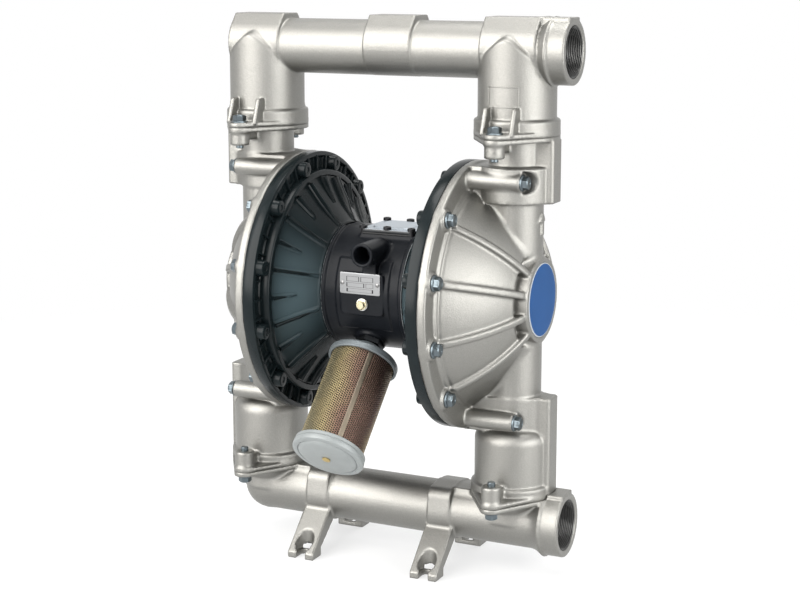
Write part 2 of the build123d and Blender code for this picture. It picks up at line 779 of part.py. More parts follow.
# Diaphragms with their plates and the shaft between them
centre_x = rim_x - diaphragm_t / 2
shoulder = centre_x - 12
shaft = rod_x(shaft_r, -shoulder, shoulder) + rod_x(stud_r, -shoulder - stud_reach, shoulder + stud_reach)
write("diaphragm_shaft", shaft)
bore = stud_r + running_gap
fold = (plate_r + 3 + bead_inner_r) / 2
back, front = rim_x - bead_t / 2, rim_x + bead_t / 2
both_sides("diaphragm", turned_x(outline(
    (centre_x, bore), (centre_x, plate_r + 3), ((centre_x + convolute_height, fold), (back, bead_inner_r)),
    (back, bead_r), (front, bead_r), (front, bead_inner_r - 1),
    ((centre_x + diaphragm_t + convolute_height, fold), (centre_x + diaphragm_t, plate_r + 3)),
    (centre_x + diaphragm_t, bore),
)))
both_sides("air_plate", turned_x(outline(
    (shoulder, bore), (shoulder, 34), (shoulder + 4, plate_r - 9), ((shoulder + 7, plate_r - 1), (centre_x, plate_r - 1)),
    (centre_x, bore),
)))
face_x = centre_x + diaphragm_t
both_sides("fluid_plate", turned_x(outline(
    (face_x, bore), (face_x, plate_r - 3), ((face_x + 4, plate_r - 2), (face_x + 8, plate_r - 8)),
    (face_x + 14, 40), (face_x + 26, 20), (face_x + 28, 15), (face_x + 28, 0), (face_x + 9, 0), (face_x + 9, bore),
)))

# Air section
both_sides("air_cover", air_cover())
both_sides("air_cover_screws", cover_screws())
both_sides("air_cover_gasket", cover_gasket())
write("motor_housing", motor_housing())
gasket, plate, screws = valve_cover()
write("valve_cover_gasket", gasket)
write("valve_cover", plate)
write("valve_cover_screws", screws)
bushing = turned_x(outline(
    (motor_half - bushing_length, shaft_r + running_gap), (motor_half - bushing_length, bushing_r),
    (motor_half, bushing_r), (motor_half, shaft_r + running_gap),
))
write("shaft_bushings", [bushing, other_side(bushing)])
seal_x = motor_half + gasket_t
shaft_seal = turned_x(outline(
    (seal_x, shaft_r + running_gap), (seal_x, seal_r - running_gap), (seal_x + seal_length, seal_r - running_gap),
    (seal_x + seal_length, seal_r - 1.5), (seal_x + 3, 15), (seal_x + seal_length, 14.2),
    (seal_x + seal_length, shaft_r + running_gap),
))
write("shaft_seals", [shaft_seal, other_side(shaft_seal)])
pilot_end = shoulder - stroke + stroke * pilot_ratio - 2 * running_gap
write("pilot_rod", chamfer(
    rod_x(pilot_r, -pilot_end, pilot_end, z=shaft_z - pilot_drop).edges().filter_by(GeomType.CIRCLE), 0.8
))
pocket_mid = (pocket_x0 + pocket_x1) / 2
valve_z = shaft_z + pocket_floor
valve_plate = block(pocket_x0 + 3, pocket_x1 - 3, 3 - pocket_half, pocket_half - 3, valve_z, valve_z + 6)
for offset in (-14, 0, 14):
    valve_plate -= Pos(pocket_mid + offset, 0, valve_z) * extrude(RectangleRounded(7, 26, 3), 6)
write("valve_plate", valve_plate)
carriage = block(pocket_mid - 13, pocket_mid + 13, -17, 17, valve_z + 6, valve_z + 17)
carriage -= block(pocket_mid - 10, pocket_mid + 10, -13, 13, valve_z + 6, valve_z + 11)
carriage += block(pocket_mid - 3, pocket_mid + 3, -17, 17, valve_z + 16, valve_z + 23)
write("valve_carriage", carriage)

# Exhaust muffler
nipple = rod(nipple_r, along_exhaust(-nipple_sink), EXHAUST, nipple_sink + cap_rim_start)
hexagon = extrude(RegularPolygon(nipple_hex_r, 6), nipple_hex_t)
nipple += Plane(origin=along_exhaust(exhaust_boss_rise), z_dir=EXHAUST) * hexagon
nipple -= rod(nipple_r - nipple_wall, along_exhaust(-nipple_sink), EXHAUST, nipple_sink + cap_rim_start)
write("muffler_nipple", nipple)
tube_start = cap_rim_start + 4
cap_end = cap_rim_start + cap_rim_t
write("muffler_top_cap", exhaust_turned(outline(
    (nipple_r + thread_gap, cap_start), (nipple_r + 5.5, cap_start), (nipple_r + 6.5, cap_rim_start - 9),
    (cap_r - 3, cap_rim_start - 1), (cap_r, cap_rim_start + 2), (cap_r, cap_end - 1), (cap_r - 1, cap_end),
    (tube_r + thread_gap, cap_end), (tube_r + thread_gap, tube_start), (nipple_r + thread_gap, tube_start),
)))
tube_end = tube_start + tube_length
write("muffler_tube", exhaust_turned(outline(
    (tube_r - tube_wall, tube_start), (tube_r, tube_start), (tube_r, tube_end), (tube_r - tube_wall, tube_end),
)))
write("muffler_packing", exhaust_turned(outline(
    (packing_r, tube_start), (tube_r - tube_wall - loose_gap, tube_start),
    (tube_r - tube_wall - loose_gap, tube_end), (packing_r, tube_end),
)))
low = tube_end + 6
write("muffler_bottom_cap", exhaust_turned(outline(
    (tie_rod_r + thread_gap, tube_end), (tube_r + thread_gap, tube_end), (tube_r + thread_gap, tube_end - 6),
    (cap_r, tube_end - 6), (cap_r + 0.6, tube_end - 5), (cap_r + 0.6, low - 2), (cap_r - 1.4, low), (cap_r - 7, low),
    ((cap_r - 10, low + 1.5), (cap_r - 14, low + 2)), (tie_rod_r + thread_gap, low + 3),
)))
rod_part = rod(tie_rod_r, (0, 0, tube_start), UP, low + 5 - tube_start)
rod_part += rod(tie_rod_r + 2.2, (0, 0, low + 3), UP, 1.5)
tie = Plane(origin=along_exhaust(0), x_dir=(1, 0, 0), z_dir=EXHAUST) * (rod_part + block(
    1 - packing_r, packing_r - 1, -4, 4, tube_start, tube_start + 3
))
write("muffler_tie_rod", tie)

# Small outer parts
badge_x = hub_face_x - badge_depth
both_sides("badge", turned_x(outline(
    (badge_x, 0), (badge_x, badge_r), (badge_x + badge_t - 1, badge_r), (badge_x + badge_t, badge_r - 2),
    (badge_x + badge_t, 0),
)))
plate_y = -motor_r - pad_rise
write("nameplate", extrude(Pos(0, plate_y, shaft_z + 16) * (Plane.XZ * RectangleRounded(54, 26, 2)), 0.8) - [
    rod(1.5 + bolt_gap, (x, plate_y - 2, z), (0, 1, 0), 4) for x, z in rivet_points()
])
rivet = rod(2.6, (0, 0, 0), UP, 1.0) + rod(1.5, (0, 0, -6), UP, 6)
write("nameplate_rivets", [place(rivet, (x, plate_y - 0.8, z), (0, -1, 0)) for x, z in rivet_points()])
ground = hex_bolt(8, radius=4, across=10, height=6, flange=7.5)
write("ground_screw", place(ground, (3, plate_y, shaft_z - 9), (0, -1, 0)))

os.makedirs("parts", exist_ok=True)
for name, shape in write_list.items():
    export_step(shape, f"parts/{name}.step")
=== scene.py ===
"""Air operated double diaphragm pump: its detailed castings, fittings, finishes and stage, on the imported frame."""

import math
from functools import partialmethod

import bpy
import numpy as np
from bpy.props import FloatProperty, FloatVectorProperty, PointerProperty
from mathutils import Matrix, Vector


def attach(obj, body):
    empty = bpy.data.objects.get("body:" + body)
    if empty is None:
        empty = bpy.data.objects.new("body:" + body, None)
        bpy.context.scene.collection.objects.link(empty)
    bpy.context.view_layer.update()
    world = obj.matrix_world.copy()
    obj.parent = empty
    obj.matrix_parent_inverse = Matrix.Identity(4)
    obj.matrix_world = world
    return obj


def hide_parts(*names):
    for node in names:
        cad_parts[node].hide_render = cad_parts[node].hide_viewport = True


bl_info = {
    "name": "Double diaphragm pump",
    "version": (1, 0, 0),
    "blender": (4, 5, 0),
    "location": "3D View > Sidebar > Pump",
    "description": "Builds the castings, air section, muffler, fasteners and stage of an air operated pump",
    "category": "Object",
}

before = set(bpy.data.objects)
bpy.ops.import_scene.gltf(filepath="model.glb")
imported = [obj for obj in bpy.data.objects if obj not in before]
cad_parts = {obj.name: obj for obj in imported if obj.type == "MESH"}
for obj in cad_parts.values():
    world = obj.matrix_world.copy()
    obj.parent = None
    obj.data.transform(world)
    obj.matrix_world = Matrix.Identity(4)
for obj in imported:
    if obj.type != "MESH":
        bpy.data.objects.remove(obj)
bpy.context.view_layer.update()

# Places shared by the pieces, in millimetres, as on the frame
shaft_z = 344.0
outlet_z = 640.0
inlet_z = 68.0
upper_joint_z = 541.5
lower_joint_z = 102.0
riser_x = 170.0
port_face_x = 241.0
rim_x = 114.0
hub_x = 205.0
bolt_circle = 150.0
motor_half = 54.5
motor_r = 76.0
bolt_angles = [30.0 * (k + 0.5) for k in range(12)]
pipe_r = 33.8
chamber_r = 47.0
ear_y = 70.0
foot_x, foot_y = 85.0, 67.0
exhaust_y, exhaust_z = -47.7, 284.9
exhaust = (0.0, -math.sqrt(0.5), -math.sqrt(0.5))
tube_r, tube_low, tube_high = 39.2, 31.0, 160.0
holes_round, hole_rows = 88, 46

table_step = 0.75  # between the radii that a body of revolution is worked out at


def bolt_place(angle):
    """Y and Z of a rim bolt, from its angle round the shaft measured from +Y."""
    turn = math.radians(angle)
    return bolt_circle * math.cos(turn), shaft_z + bolt_circle * math.sin(turn)


def is_long(angle):
    """True for the bolts that run beside the risers."""
    return abs(math.sin(math.radians(angle))) > math.cos(math.radians(20))


# ---- distance fields


def size(*parts):
    """Length of a vector: the root of the sum of the squares of its parts."""
    total = parts[0] * parts[0]
    for part in parts[1:]:
        total = total + part * part
    return np.sqrt(total)


def fuse(a, b, r=0.0):
    """Union of two distances. Nearer than r to both, the corner is filled by a circle of radius r."""
    if r <= 0:
        return np.minimum(a, b)
    return np.maximum(r, np.minimum(a, b)) - size(np.maximum(r - a, 0), np.maximum(r - b, 0))


def common(a, b, r=0.0):
    """What two shapes share. Nearer than r to both, the edge is rounded by a circle of radius r."""
    if r <= 0:
        return np.maximum(a, b)
    return np.minimum(-r, np.maximum(a, b)) + size(np.maximum(r + a, 0), np.maximum(r + b, 0))


def cut(a, b, r=0.0):
    """The first shape without the second, its new edge rounded by r."""
    return common(a, -b, r)


def slab(t, lo, hi):
    """Distance to the space between two parallel planes."""
    return np.abs(t - (lo + hi) / 2) - (hi - lo) / 2


def trim(shape, t, lo, hi, edge=0.0):
    """The part of a shape between two parallel planes, its new edges rounded."""
    return common(shape, slab(t, lo, hi), edge)


def brick(x, y, z, box, edge=0.0):
    """Box between two corners given as x0, x1, y0, y1, z0, z1, all edges rounded."""
    flat = trim(slab(x, box[0], box[1]), y, box[2], box[3], edge)
    return trim(flat, z, box[4], box[5], edge)


def polygon(points, a, b):
    """Distance to a polygon: the least distance to its sides, negative where an odd number of sides lie beyond."""
    a, b = np.broadcast_arrays(a, b)
    near = np.full(a.shape, 1e12, np.float32)
    sign = np.ones(a.shape, np.float32)
    for (pa, pb), (qa, qb) in zip(points, points[1:] + points[:1]):
        ea, eb = qa - pa, qb - pb
        wa, wb = a - pa, b - pb
        t = np.clip((wa * ea + wb * eb) / max(ea * ea + eb * eb, 1e-9), 0, 1)
        near = np.minimum(near, (wa - ea * t) ** 2 + (wb - eb * t) ** 2)
        side = ea * wb - eb * wa
        crossed = ((pb <= b) & (qb > b) & (side > 0)) | ((pb > b) & (qb <= b) & (side < 0))
        sign = np.where(crossed, -sign, sign)
    return sign * np.sqrt(near)


def turned(points, t, r):
    """Body of revolution: a polygon's distance in the plane of the place along the axis and the radius. On a grid it
    is worked out once for each place and radius, and read between two radii of that table."""
    if t.ndim < 3:
        return polygon(points, t, r)
    radii = np.arange(0, float(r.max()) + 3 * table_step, table_step, dtype=np.float32)
    table = polygon(points, t.ravel()[:, None], radii[None, :])
    place = r / table_step
    low = place.astype(np.int32)
    share = (place - low).astype(np.float32)
    row = np.arange(t.size).reshape(t.shape)
    return table[row, low] * (1 - share) + table[row, low + 1] * share


def upright(points, z, radius):
    """Body of revolution about an upright axis: a polygon's distance in the plane of the radius and the height."""
    return turned([(height, out) for out, height in points], z, radius)


def tapered(a, b, length, r0, r1):
    """Plan of two circles drawn together by their tangents, r0 at the origin and r1 at a length along b."""
    a = np.abs(a)
    k = (r0 - r1) / length
    c = math.sqrt(1 - k * k)
    along = -k * a + c * b
    flank = c * a + k * b - r0
    return np.where(along < 0, size(a, b) - r0, np.where(along > c * length, size(a, b - length) - r1, flank))


def ear_plan(side, away):
    """Plan of a joint flange, drawn out to a round ear on each side of the riser."""
    return tapered(side, away, ear_y, 51.5, 13.5)


def arc(p, q, bulge, count=14):
    """Points on a parabola from p to q that stands off its chord by bulge in the middle."""
    p, q = np.array(p, float), np.array(q, float)
    chord = q - p
    out = np.array((-chord[1], chord[0])) / np.hypot(*chord)
    t = np.linspace(0, 1, count)[:, None]
    return [tuple(v) for v in p + chord * t + out * (4 * bulge * t * (1 - t))]


def hull(circles, count=48):
    """Outline round several circles given as centre and radius: the convex hull of points on them."""
    turn = np.linspace(0, 2 * np.pi, count, endpoint=False)
    dots = sorted((a + r * math.cos(s), b + r * math.sin(s)) for a, b, r in circles for s in turn)

    def chain(items):
        """One side of the hull: a point is dropped where the way past it doesn't turn left."""
        out = []
        for c, d in items:
            while len(out) > 1:
                (a, b), (e, f) = out[-2:]
                if (e - a) * (d - b) > (f - b) * (c - a):
                    break
                out.pop()
            out.append((c, d))
        return out[:-1]

    return chain(dots) + chain(dots[::-1])


def skin(field, lo, hi, step):
    """Surface where a distance field is nought: one point in each cell that it crosses, at the mean of the
    crossings on the cell's edges, then moved along the field's slope onto the surface. Points and quads."""
    axes = [np.arange(a - 2 * step, b + 3 * step, step, dtype=np.float32) for a, b in zip(lo, hi)]
    grid = [axes[0][:, None, None], axes[1][None, :, None], axes[2][None, None, :]]
    shape = tuple(len(a) for a in axes)
    value = np.ascontiguousarray(np.broadcast_to(field(*grid), shape), np.float32)
    inside = value < 0
    corner = [(i, j, k) for i in (0, 1) for j in (0, 1) for k in (0, 1)]

    def shifted(data, c):
        return data[tuple(slice(o, n - 1 + o) for o, n in zip(c, shape))]

    count = sum(shifted(inside, c).astype(np.int8) for c in corner)
    mixed = (count > 0) & (count < 8)
    cell = np.stack(np.nonzero(mixed), 1)
    index = np.full(mixed.shape, -1, np.int64)
    index[mixed] = np.arange(len(cell))
    f = {c: value[cell[:, 0] + c[0], cell[:, 1] + c[1], cell[:, 2] + c[2]] for c in corner}
    total = np.zeros((len(cell), 3))
    hits = np.zeros(len(cell))
    for c in corner:
        for axis in range(3):
            if c[axis]:
                continue
            d = tuple(1 if k == axis else v for k, v in enumerate(c))
            a, b = f[c], f[d]
            crossed = (a < 0) != (b < 0)
            share = np.where(crossed, a / np.where(crossed, a - b, 1), 0)
            place = np.tile(np.array(c, float), (len(cell), 1))
            place[:, axis] += share
            total += place * crossed[:, None]
            hits += crossed
    points = (cell + total / hits[:, None]) * step + np.array([a[0] for a in axes])
    for _ in range(3):
        at = points.astype(np.float32).T
        here = field(*at)
        nudges = np.eye(3, dtype=np.float32) * 0.25
        slope = np.stack([(field(*(at + d[:, None])) - field(*(at - d[:, None]))) / 0.5 for d in nudges], 1)
        steep = np.maximum((slope**2).sum(1), 0.2)[:, None]
        points = points - np.clip(here, -step / 2, step / 2)[:, None] * slope / steep
    quads = []
    for axis in range(3):
        one, two = (axis + 1) % 3, (axis + 2) % 3
        a = inside[tuple(slice(0, n - 1) if k == axis else slice(1, n - 1) for k, n in enumerate(shape))]
        b = inside[tuple(slice(1, n) if k == axis else slice(1, n - 1) for k, n in enumerate(shape))]
        at = np.stack(np.nonzero(a != b), 1)
        outward = a[tuple(at.T)]
        at[:, [one, two]] += 1
        e1, e2 = np.eye(3, dtype=int)[one], np.eye(3, dtype=int)[two]
        loop = [index[tuple((at - s).T)] for s in (e1 + e2, e2, 0 * e1, e1)]
        quad = np.stack(loop, 1)
        quads.append(np.where(outward[:, None], quad, quad[:, ::-1]))
    return points, np.concatenate(quads)


# ---- surfaces from a grid


def grid_faces(rows, columns, wrap=True, ring=False):
    """Quads of a grid of points, row by row, closed on itself along the columns if it wraps, and from the last row to
    the first if it is a ring."""
    down, over = rows if ring else rows - 1, columns if wrap else columns - 1
    i, j = np.meshgrid(np.arange(down), np.arange(over), indexing="ij")
    here, there, k = i * columns, (i + 1) % rows * columns, (j + 1) % columns
    return np.stack([here + j, here + k, there + k, there + j], -1).reshape(-1, 4)


def spun(profile, count=96, ring=None):
    """Surface of revolution about Z: each (radius, height) of the profile goes round a circle, or a hexagon where
    the ring list says so, whose radius is r / cos of the angle from the nearest flat's middle."""
    profile = np.array(profile, float)
    turn = np.linspace(0, 2 * np.pi, count, endpoint=False)
    flat = 1 / np.cos((turn + np.pi / 6) % (np.pi / 3) - np.pi / 6)
    form = np.ones((len(profile), count)) if ring is None else np.where(np.array(ring)[:, None], flat, 1.0)
    radius = profile[:, :1] * form
    points = np.stack([radius * np.cos(turn), radius * np.sin(turn), np.tile(profile[:, 1:], (1, count))], -1)
    return points.reshape(-1, 3), grid_faces(len(profile), count)


def turn_to(direction, spin=0.0):
    """Rotation that carries +Z to a direction, after a spin about it."""
    spun_first = Vector(direction).to_track_quat("Z", "Y") @ Matrix.Rotation(spin, 3, "Z").to_quaternion()
    return np.array(spun_first.to_matrix())


def placed(shape, origin, direction=(0, 0, 1), spin=0.0):
    """The shape's points turned from +Z to a direction and carried to an origin."""
    points, faces = shape
    return points @ turn_to(direction, spin).T + np.array(origin, float), faces


def together(shapes):
    """Several shapes as one list of points and one of quads."""
    start, points, faces = 0, [], []
    for p, f in shapes:
        points.append(p)
        faces.append(f + start)
        start += len(p)
    return np.concatenate(points), np.concatenate(faces)


def half_turned(shape):
    """The shape on the other side of the pump: x and y change sign."""
    return shape[0] * np.array((-1, -1, 1)), shape[1]


def add_object(name, data):
    """Object at the origin, in the scene."""
    obj = bpy.data.objects.new(name, data)
    bpy.context.scene.collection.objects.link(obj)
    return obj


def piece(name, shape, finish, slot, *nodes, sharp=35):
    """Mesh of points in millimetres and quads, smooth except at edges sharper than an angle. It rides on the pump,
    stands for CAD nodes and carries a finish; its slot argument is not used. Quads with a doubled corner are mended."""
    points, faces = shape
    mesh = bpy.data.meshes.new(name)
    mesh.from_pydata((points * 0.001).tolist(), [], faces.tolist())
    mesh.validate()
    mesh.polygons.foreach_set("use_smooth", np.ones(len(mesh.polygons), bool))
    if sharp:
        mesh.set_sharp_from_angle(angle=math.radians(sharp))
    mesh.materials.append(finish)
    obj = add_object(name, mesh)
    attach(obj, "pump")
    if nodes:
        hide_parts(*nodes)
    return obj


# ---- shader maths


class Value:
    """A socket in a node tree. Its operators add Math nodes, so a finish reads as a formula."""

    def __init__(self, nodes, socket):
        self.nodes, self.socket = nodes, socket

    def math(self, operation, *others):
        return self.nodes.node("ShaderNodeMath", {"operation": operation}, dict(enumerate((self, *others))))

    def __rsub__(self, other):
        return self.nodes.node("ShaderNodeMath", {"operation": "SUBTRACT"}, {0: other, 1: self})

    __add__ = partialmethod(math, "ADD")
    __sub__ = partialmethod(math, "SUBTRACT")
    __mul__ = partialmethod(math, "MULTIPLY")
    __truediv__ = partialmethod(math, "DIVIDE")
    __pow__ = partialmethod(math, "POWER")
    __gt__ = partialmethod(math, "GREATER_THAN")
    __abs__ = partialmethod(math, "ABSOLUTE")

    def clamp(self):
        return self.nodes.node("ShaderNodeClamp", {}, {0: self})

    def beside(self, *keys):
        """Other outputs of the node that this one belongs to."""
        return [Value(self.nodes, self.socket.node.outputs[key]) for key in keys]


class Nodes:
    """A node tree whose nodes are added one by one."""

    def __init__(self, tree):
        self.tree = tree

    def node(self, kind, settings, sockets, output=0):
        """Adds a node: its settings first, then the values or links of its sockets."""
        node = self.tree.nodes.new(kind)
        for key, setting in settings.items():
            if key == "stops":
                elements = node.color_ramp.elements
                while len(elements) < len(setting):
                    elements.new(0.5)
                for element, (at, colour) in zip(elements, setting):
                    element.position = at
                    element.color = (*colour, 1)
            else:
                setattr(node, key, setting)
        for key, value in sockets.items():
            self.put(node, key, value)
        return Value(self, node.outputs[output]) if node.outputs else None

    def put(self, node, key, value):
        """Links a value to a node's socket, or sets the socket to it."""
        if isinstance(value, Value):
            self.tree.links.new(value.socket, node.inputs[key])
        else:
            node.inputs[key].default_value = value

    def place(self, output="Object"):
        return self.node("ShaderNodeTexCoord", {}, {}, output)

    def axes(self, output="Object"):
        """X, Y and Z of a place."""
        return self.node("ShaderNodeSeparateXYZ", {}, {0: self.place(output)}).beside(0, 1, 2)

    def grain(self, scale, detail=3.0, rough=0.6, stretch=None):
        """Noise from 0 to 1, by its scale, detail and roughness."""
        place = self.place()
        if stretch:
            place = self.node("ShaderNodeMapping", {}, {0: place, 3: stretch})
        return self.node("ShaderNodeTexNoise", {}, {0: place, 2: scale, 3: detail, 4: rough})

    def mix(self, share, a, b):
        """Colour between two colours."""
        sockets = {0: share, 6: (*a, 1) if isinstance(a, tuple) else a, 7: (*b, 1) if isinstance(b, tuple) else b}
        return self.node("ShaderNodeMix", {"data_type": "RGBA"}, sockets, 2)

    def bump(self, height, distance, strength):
        return self.node("ShaderNodeBump", {}, {"Strength": strength, "Distance": distance, "Height": height})

    def white_rays(self):
        """1 for the camera's rays and those that a mirror or glass sends on: they see white round the pump."""
        camera = self.node("ShaderNodeLightPath", {}, {})
        glossy, clear = camera.beside("Is Glossy Ray", "Is Transmission Ray")
        return (camera + glossy + clear).clamp()


class Finish(Nodes):
    """A material's nodes."""

    def __init__(self, name):
        self.material = bpy.data.materials.new(name)
        self.material.use_nodes = True
        super().__init__(self.material.node_tree)
        self.shader = self.tree.nodes["Principled BSDF"]

    def from_shaft(self):
        """X, Y and the distance from the shaft's axis, in metres."""
        x, y, z = self.axes()
        return x, y, length(y, z - shaft_z / 1000)

    def shade(self, **sockets):
        """Sets the shader's sockets, such as base_color, and gives the material."""
        for key, value in sockets.items():
            self.put(self.shader, key.replace("_", " ").title().replace("Ior", "IOR"), value)
        return self.material


def length(a, b):
    """Root of the sum of the squares of two sockets."""
    return (a * a + b * b).math("SQRT")


def dim(tone, share):
    """A colour times a share, at most 1."""
    return tuple(min(1.0, share * c) for c in tone)


def cast_stainless(look):
    """Bead blasted casting: fine grain, faint clouding and pitting in the colour."""
    f = Finish("cast_stainless")
    cloud = f.grain(14.0, 4.0)
    fine = f.grain(1100.0, 2.0)
    pit = f.grain(420.0, 3.0, 0.65)
    speck = f.grain(700.0, 2.0, 0.5)
    tone = look.casting_colour
    colour = f.mix(cloud * 0.9, dim(tone, 0.85), dim(tone, 1.10))
    colour = f.mix(((pit - 0.42) * -6.0).clamp() * 0.5, colour, dim(tone, 0.62))
    colour = f.mix((speck - 0.3).clamp() * 1.6, dim(tone, 0.80), colour)
    relief = f.bump(fine * 0.8 + pit * 0.9, look.casting_grain, 0.5)
    return f.shade(
        base_color=colour, metallic=1.0, roughness=(cloud * 0.14 + fine * 0.14 + 0.31).clamp(), normal=relief
    )


def enamel(name, tone, shine, grain, gleam, painted_sheen=0.0, painted_rim_highlight=0.0):
    """Black epoxy over a casting: slight orange peel, and dust that changes the gloss. Where it is asked for, a bluish
    painted sheen on the front of the dish, by the angle and distance round the shaft and less on what stands more than
    a few millimetres above the dish's cone, or a painted highlight in pale colour along the rims of the housing."""
    f = Finish(name)
    dust = f.grain(38.0, 5.0, 0.65)
    tone = tuple(tone)
    colour = f.mix((dust - 0.45).clamp() * 0.8, tone, tuple(1.8 * c + 0.004 for c in tone))
    x, y, radius = f.from_shaft()
    # painted sheen: a bluish painted reflection mixed into the colour of the dish's front panels, less on the ribs
    if painted_sheen:
        off = (radius - 0.103) / 0.034
        band = (1 - off * off).clamp() * (y / radius * -1.0).clamp() ** 5.0
        above = (radius - 0.0785) * 0.55 - (abs(x) - 0.0574) * 0.835
        colour = f.mix(band * (2.0 - above * 700.0).clamp() * painted_sheen, colour, (0.085, 0.125, 0.14))
    # painted highlight: paler colour along the housing's rims, in place of a thin edge highlight
    if painted_rim_highlight:
        edge = ((abs(x) - 0.0537) * 2500.0).clamp() * ((radius - 0.0768) * 2500.0).clamp()
        colour = f.mix(edge * painted_rim_highlight, colour, (0.30, 0.32, 0.33))
    relief = f.bump(f.grain(140.0, 2.0, 0.5), grain, 0.4)
    rough = (dust * 0.14 + shine).clamp()
    return f.shade(base_color=colour, roughness=rough, normal=relief, specular_ior_level=gleam)


def plain(name, tone, shine, metal, cloud, spread, mark, gloss, relief):
    """One tone, mottled between two shares of it, with a grain that shows in the gloss and the relief."""
    f = Finish(name)
    fine = f.grain(*mark)
    colour = f.mix(f.grain(*cloud), dim(tone, spread[0]), dim(tone, spread[1]))
    rough = (fine * gloss + shine).clamp()
    return f.shade(base_color=colour, metallic=metal, roughness=rough, normal=f.bump(fine, *relief))


def steel(name, tone, shine):
    """Bare metal with faint turning or handling marks."""
    return plain(name, tone, shine, 1.0, (60.0, 4.0), (0.80, 1.12), (300.0, 4.0), 0.2, (0.00008, 0.5))


def soft(name, tone, shine):
    """Rubber or moulded plastic with a fine matt grain."""
    return plain(name, tone, shine, 0.0, (50.0, 3.0), (0.85, 1.15), (700.0, 2.0, 0.5), 0.15, (0.00006, 0.5))


def painted(name, tone, shine, metal=0.0):
    """Paint or zinc casting with a faint mottled tone."""
    return plain(name, tone, shine, metal, (45.0, 4.0), (0.86, 1.08), (800.0, 2.0), 0.15, (0.0001, 0.4))


def perforated_finish():
    """Yellow zinc on sheet: streaks of gold, rose and plum that run along the tube, by the angle round its axis. The
    tint is the zinc's own, but the pale gold on the tube's -X side and the dark plum on its +X side are also painted
    highlight and painted shade.
    """
    f = Finish("perforated_zinc")
    x, y, z = f.axes()
    across = (y - z) * 0.7071 + 0.2352  # from the exhaust's axis, in metres
    angle = x.math("ARCTAN2", across * -1.0)
    # partly painted light: the ramp puts pale gold on the tube's -X side and dark plum on its +X side, as painted
    # highlight and painted shade over the zinc's own tint
    tint_and_painted_light = angle * 0.1592 + 0.5 + (f.grain(16.0) - 0.5) * 0.22
    gold, olive, rose, plum = (0.27, 0.22, 0.115), (0.18, 0.16, 0.10), (0.175, 0.105, 0.08), (0.10, 0.06, 0.052)
    places = (0.0, 0.2, 0.42, 0.50, 0.58, 0.72, 0.85, 1.0)
    stops = list(zip(places, (rose, gold, olive, gold, rose, plum, gold, rose)))
    colour = f.node("ShaderNodeValToRGB", {"stops": stops}, {0: tint_and_painted_light})
    return f.shade(base_color=colour, metallic=0.9, roughness=(f.grain(400.0) * 0.2 + 0.26).clamp())


def valve_cover_finish():
    """Satin metal on top of the plate; its sides dark and not metallic as painted shade, split by the height."""
    f = Finish("valve_cover_metal")
    x, y, z = f.axes()
    cloud = f.grain(60.0, 4.0)
    # painted shade: below the plate's top face the colour is dark and the metal goes
    top = ((z - 0.4203) * 4000.0).clamp()
    colour = f.mix(top, (0.02, 0.022, 0.024), f.mix(cloud, (0.36, 0.40, 0.44), (0.46, 0.50, 0.54)))
    return f.shade(base_color=colour, metallic=top * 0.9, roughness=(cloud * 0.15 + 0.34).clamp())


def nameplate_finish():
    """Brushed sheet with blank boxes printed on it: thin dark frames in three rows."""
    f = Finish("nameplate_sheet")
    x, y, z = f.axes()
    u, v = x * 1000.0, (z - 0.360) * 1000.0

    def frame_line(u0, u1, v0, v1):
        """1 on the border of a box, whose sides are at 1 in the greater of two shares."""
        across = abs(u - (u0 + u1) / 2) / ((u1 - u0) / 2)
        inner = across.math("MAXIMUM", abs(v - (v0 + v1) / 2) / ((v1 - v0) / 2))
        return (inner > 0.9) * (1 - (inner > 1.0))

    lines = frame_line(-18, -1, 2.5, 8.5)
    for box in ((1, 18, 2.5, 8.5), (-18, 6, -4.5, 0.8), (8, 18, -4.5, 0.8), (-18, 18, -10.5, -6.2)):
        lines = lines.math("MAXIMUM", frame_line(*box))
    brushed = f.grain(90.0, 3.0, 0.6, (1, 1, 40))
    colour = f.mix(lines, f.mix(brushed, (0.21, 0.215, 0.22), (0.27, 0.275, 0.28)), (0.012, 0.012, 0.014))
    return f.shade(base_color=colour, metallic=0.9, roughness=(brushed * 0.15 + 0.34).clamp())


def badge_finish(tone):
    """Blue label under clear resin, with a thin grey edge."""
    f = Finish("badge_label")
    x, y, radius = f.from_shaft()
    colour = f.mix(f.grain(25.0, 3.0, 0.5), dim(tone, 0.88), dim(tone, 1.1))
    colour = f.mix(radius > 0.0436, colour, (0.34, 0.36, 0.38))
    return f.shade(base_color=colour, roughness=0.6, specular_ior_level=0.12)


# ---- castings


def dome_line(offset):
    """Line of the fluid cover's dome in x and radius: an arc from the rim to the hub, moved out by an offset."""
    run, fall = 198.0 - 131.0, 134.0 - 51.0
    span = math.hypot(run, fall)
    ox, orr = offset * fall / span, offset * run / span
    return arc((131 + ox, 134 + orr), (198 + ox, 51 + orr), 7.0)


dome_section = dome_line(0) + [(203, 40), (203, 0), (116, 0), (116, 136)]
ridge_section = dome_line(5.5) + [(203, 40), (203, 0), (116, 0), (116, 140)]
cavity_section = (
    [(110, 0), (110, 142), (116.5, 142), (116.5, 126.2)] + [(x, r) for x, r in dome_line(-8.0) if x < 179] + [(180, 0)]
)
lower_chamber_section = [(-5, 102), (51.5, 102), (51.5, 116.0), (50.8, 117.2), (47.5, 118.4)] + [
    (32.0 + 15.5 * math.cos(t), 170.0 + 16.0 * math.sin(t)) for t in np.linspace(0, math.pi / 2, 12)
] + [(-5, 186.5)]
web_plan = hull([(119, -33, 1), (119, 33, 1), (170, 0, 34), (207, -13, 2), (207, 13, 2)])


def long_boss_end(angle):
    """How far a long boss reaches along X."""
    y, z = bolt_place(angle)
    if z > shaft_z:
        return riser_x + 22.5
    return riser_x + (16.0 if y < 0 else 30.0)


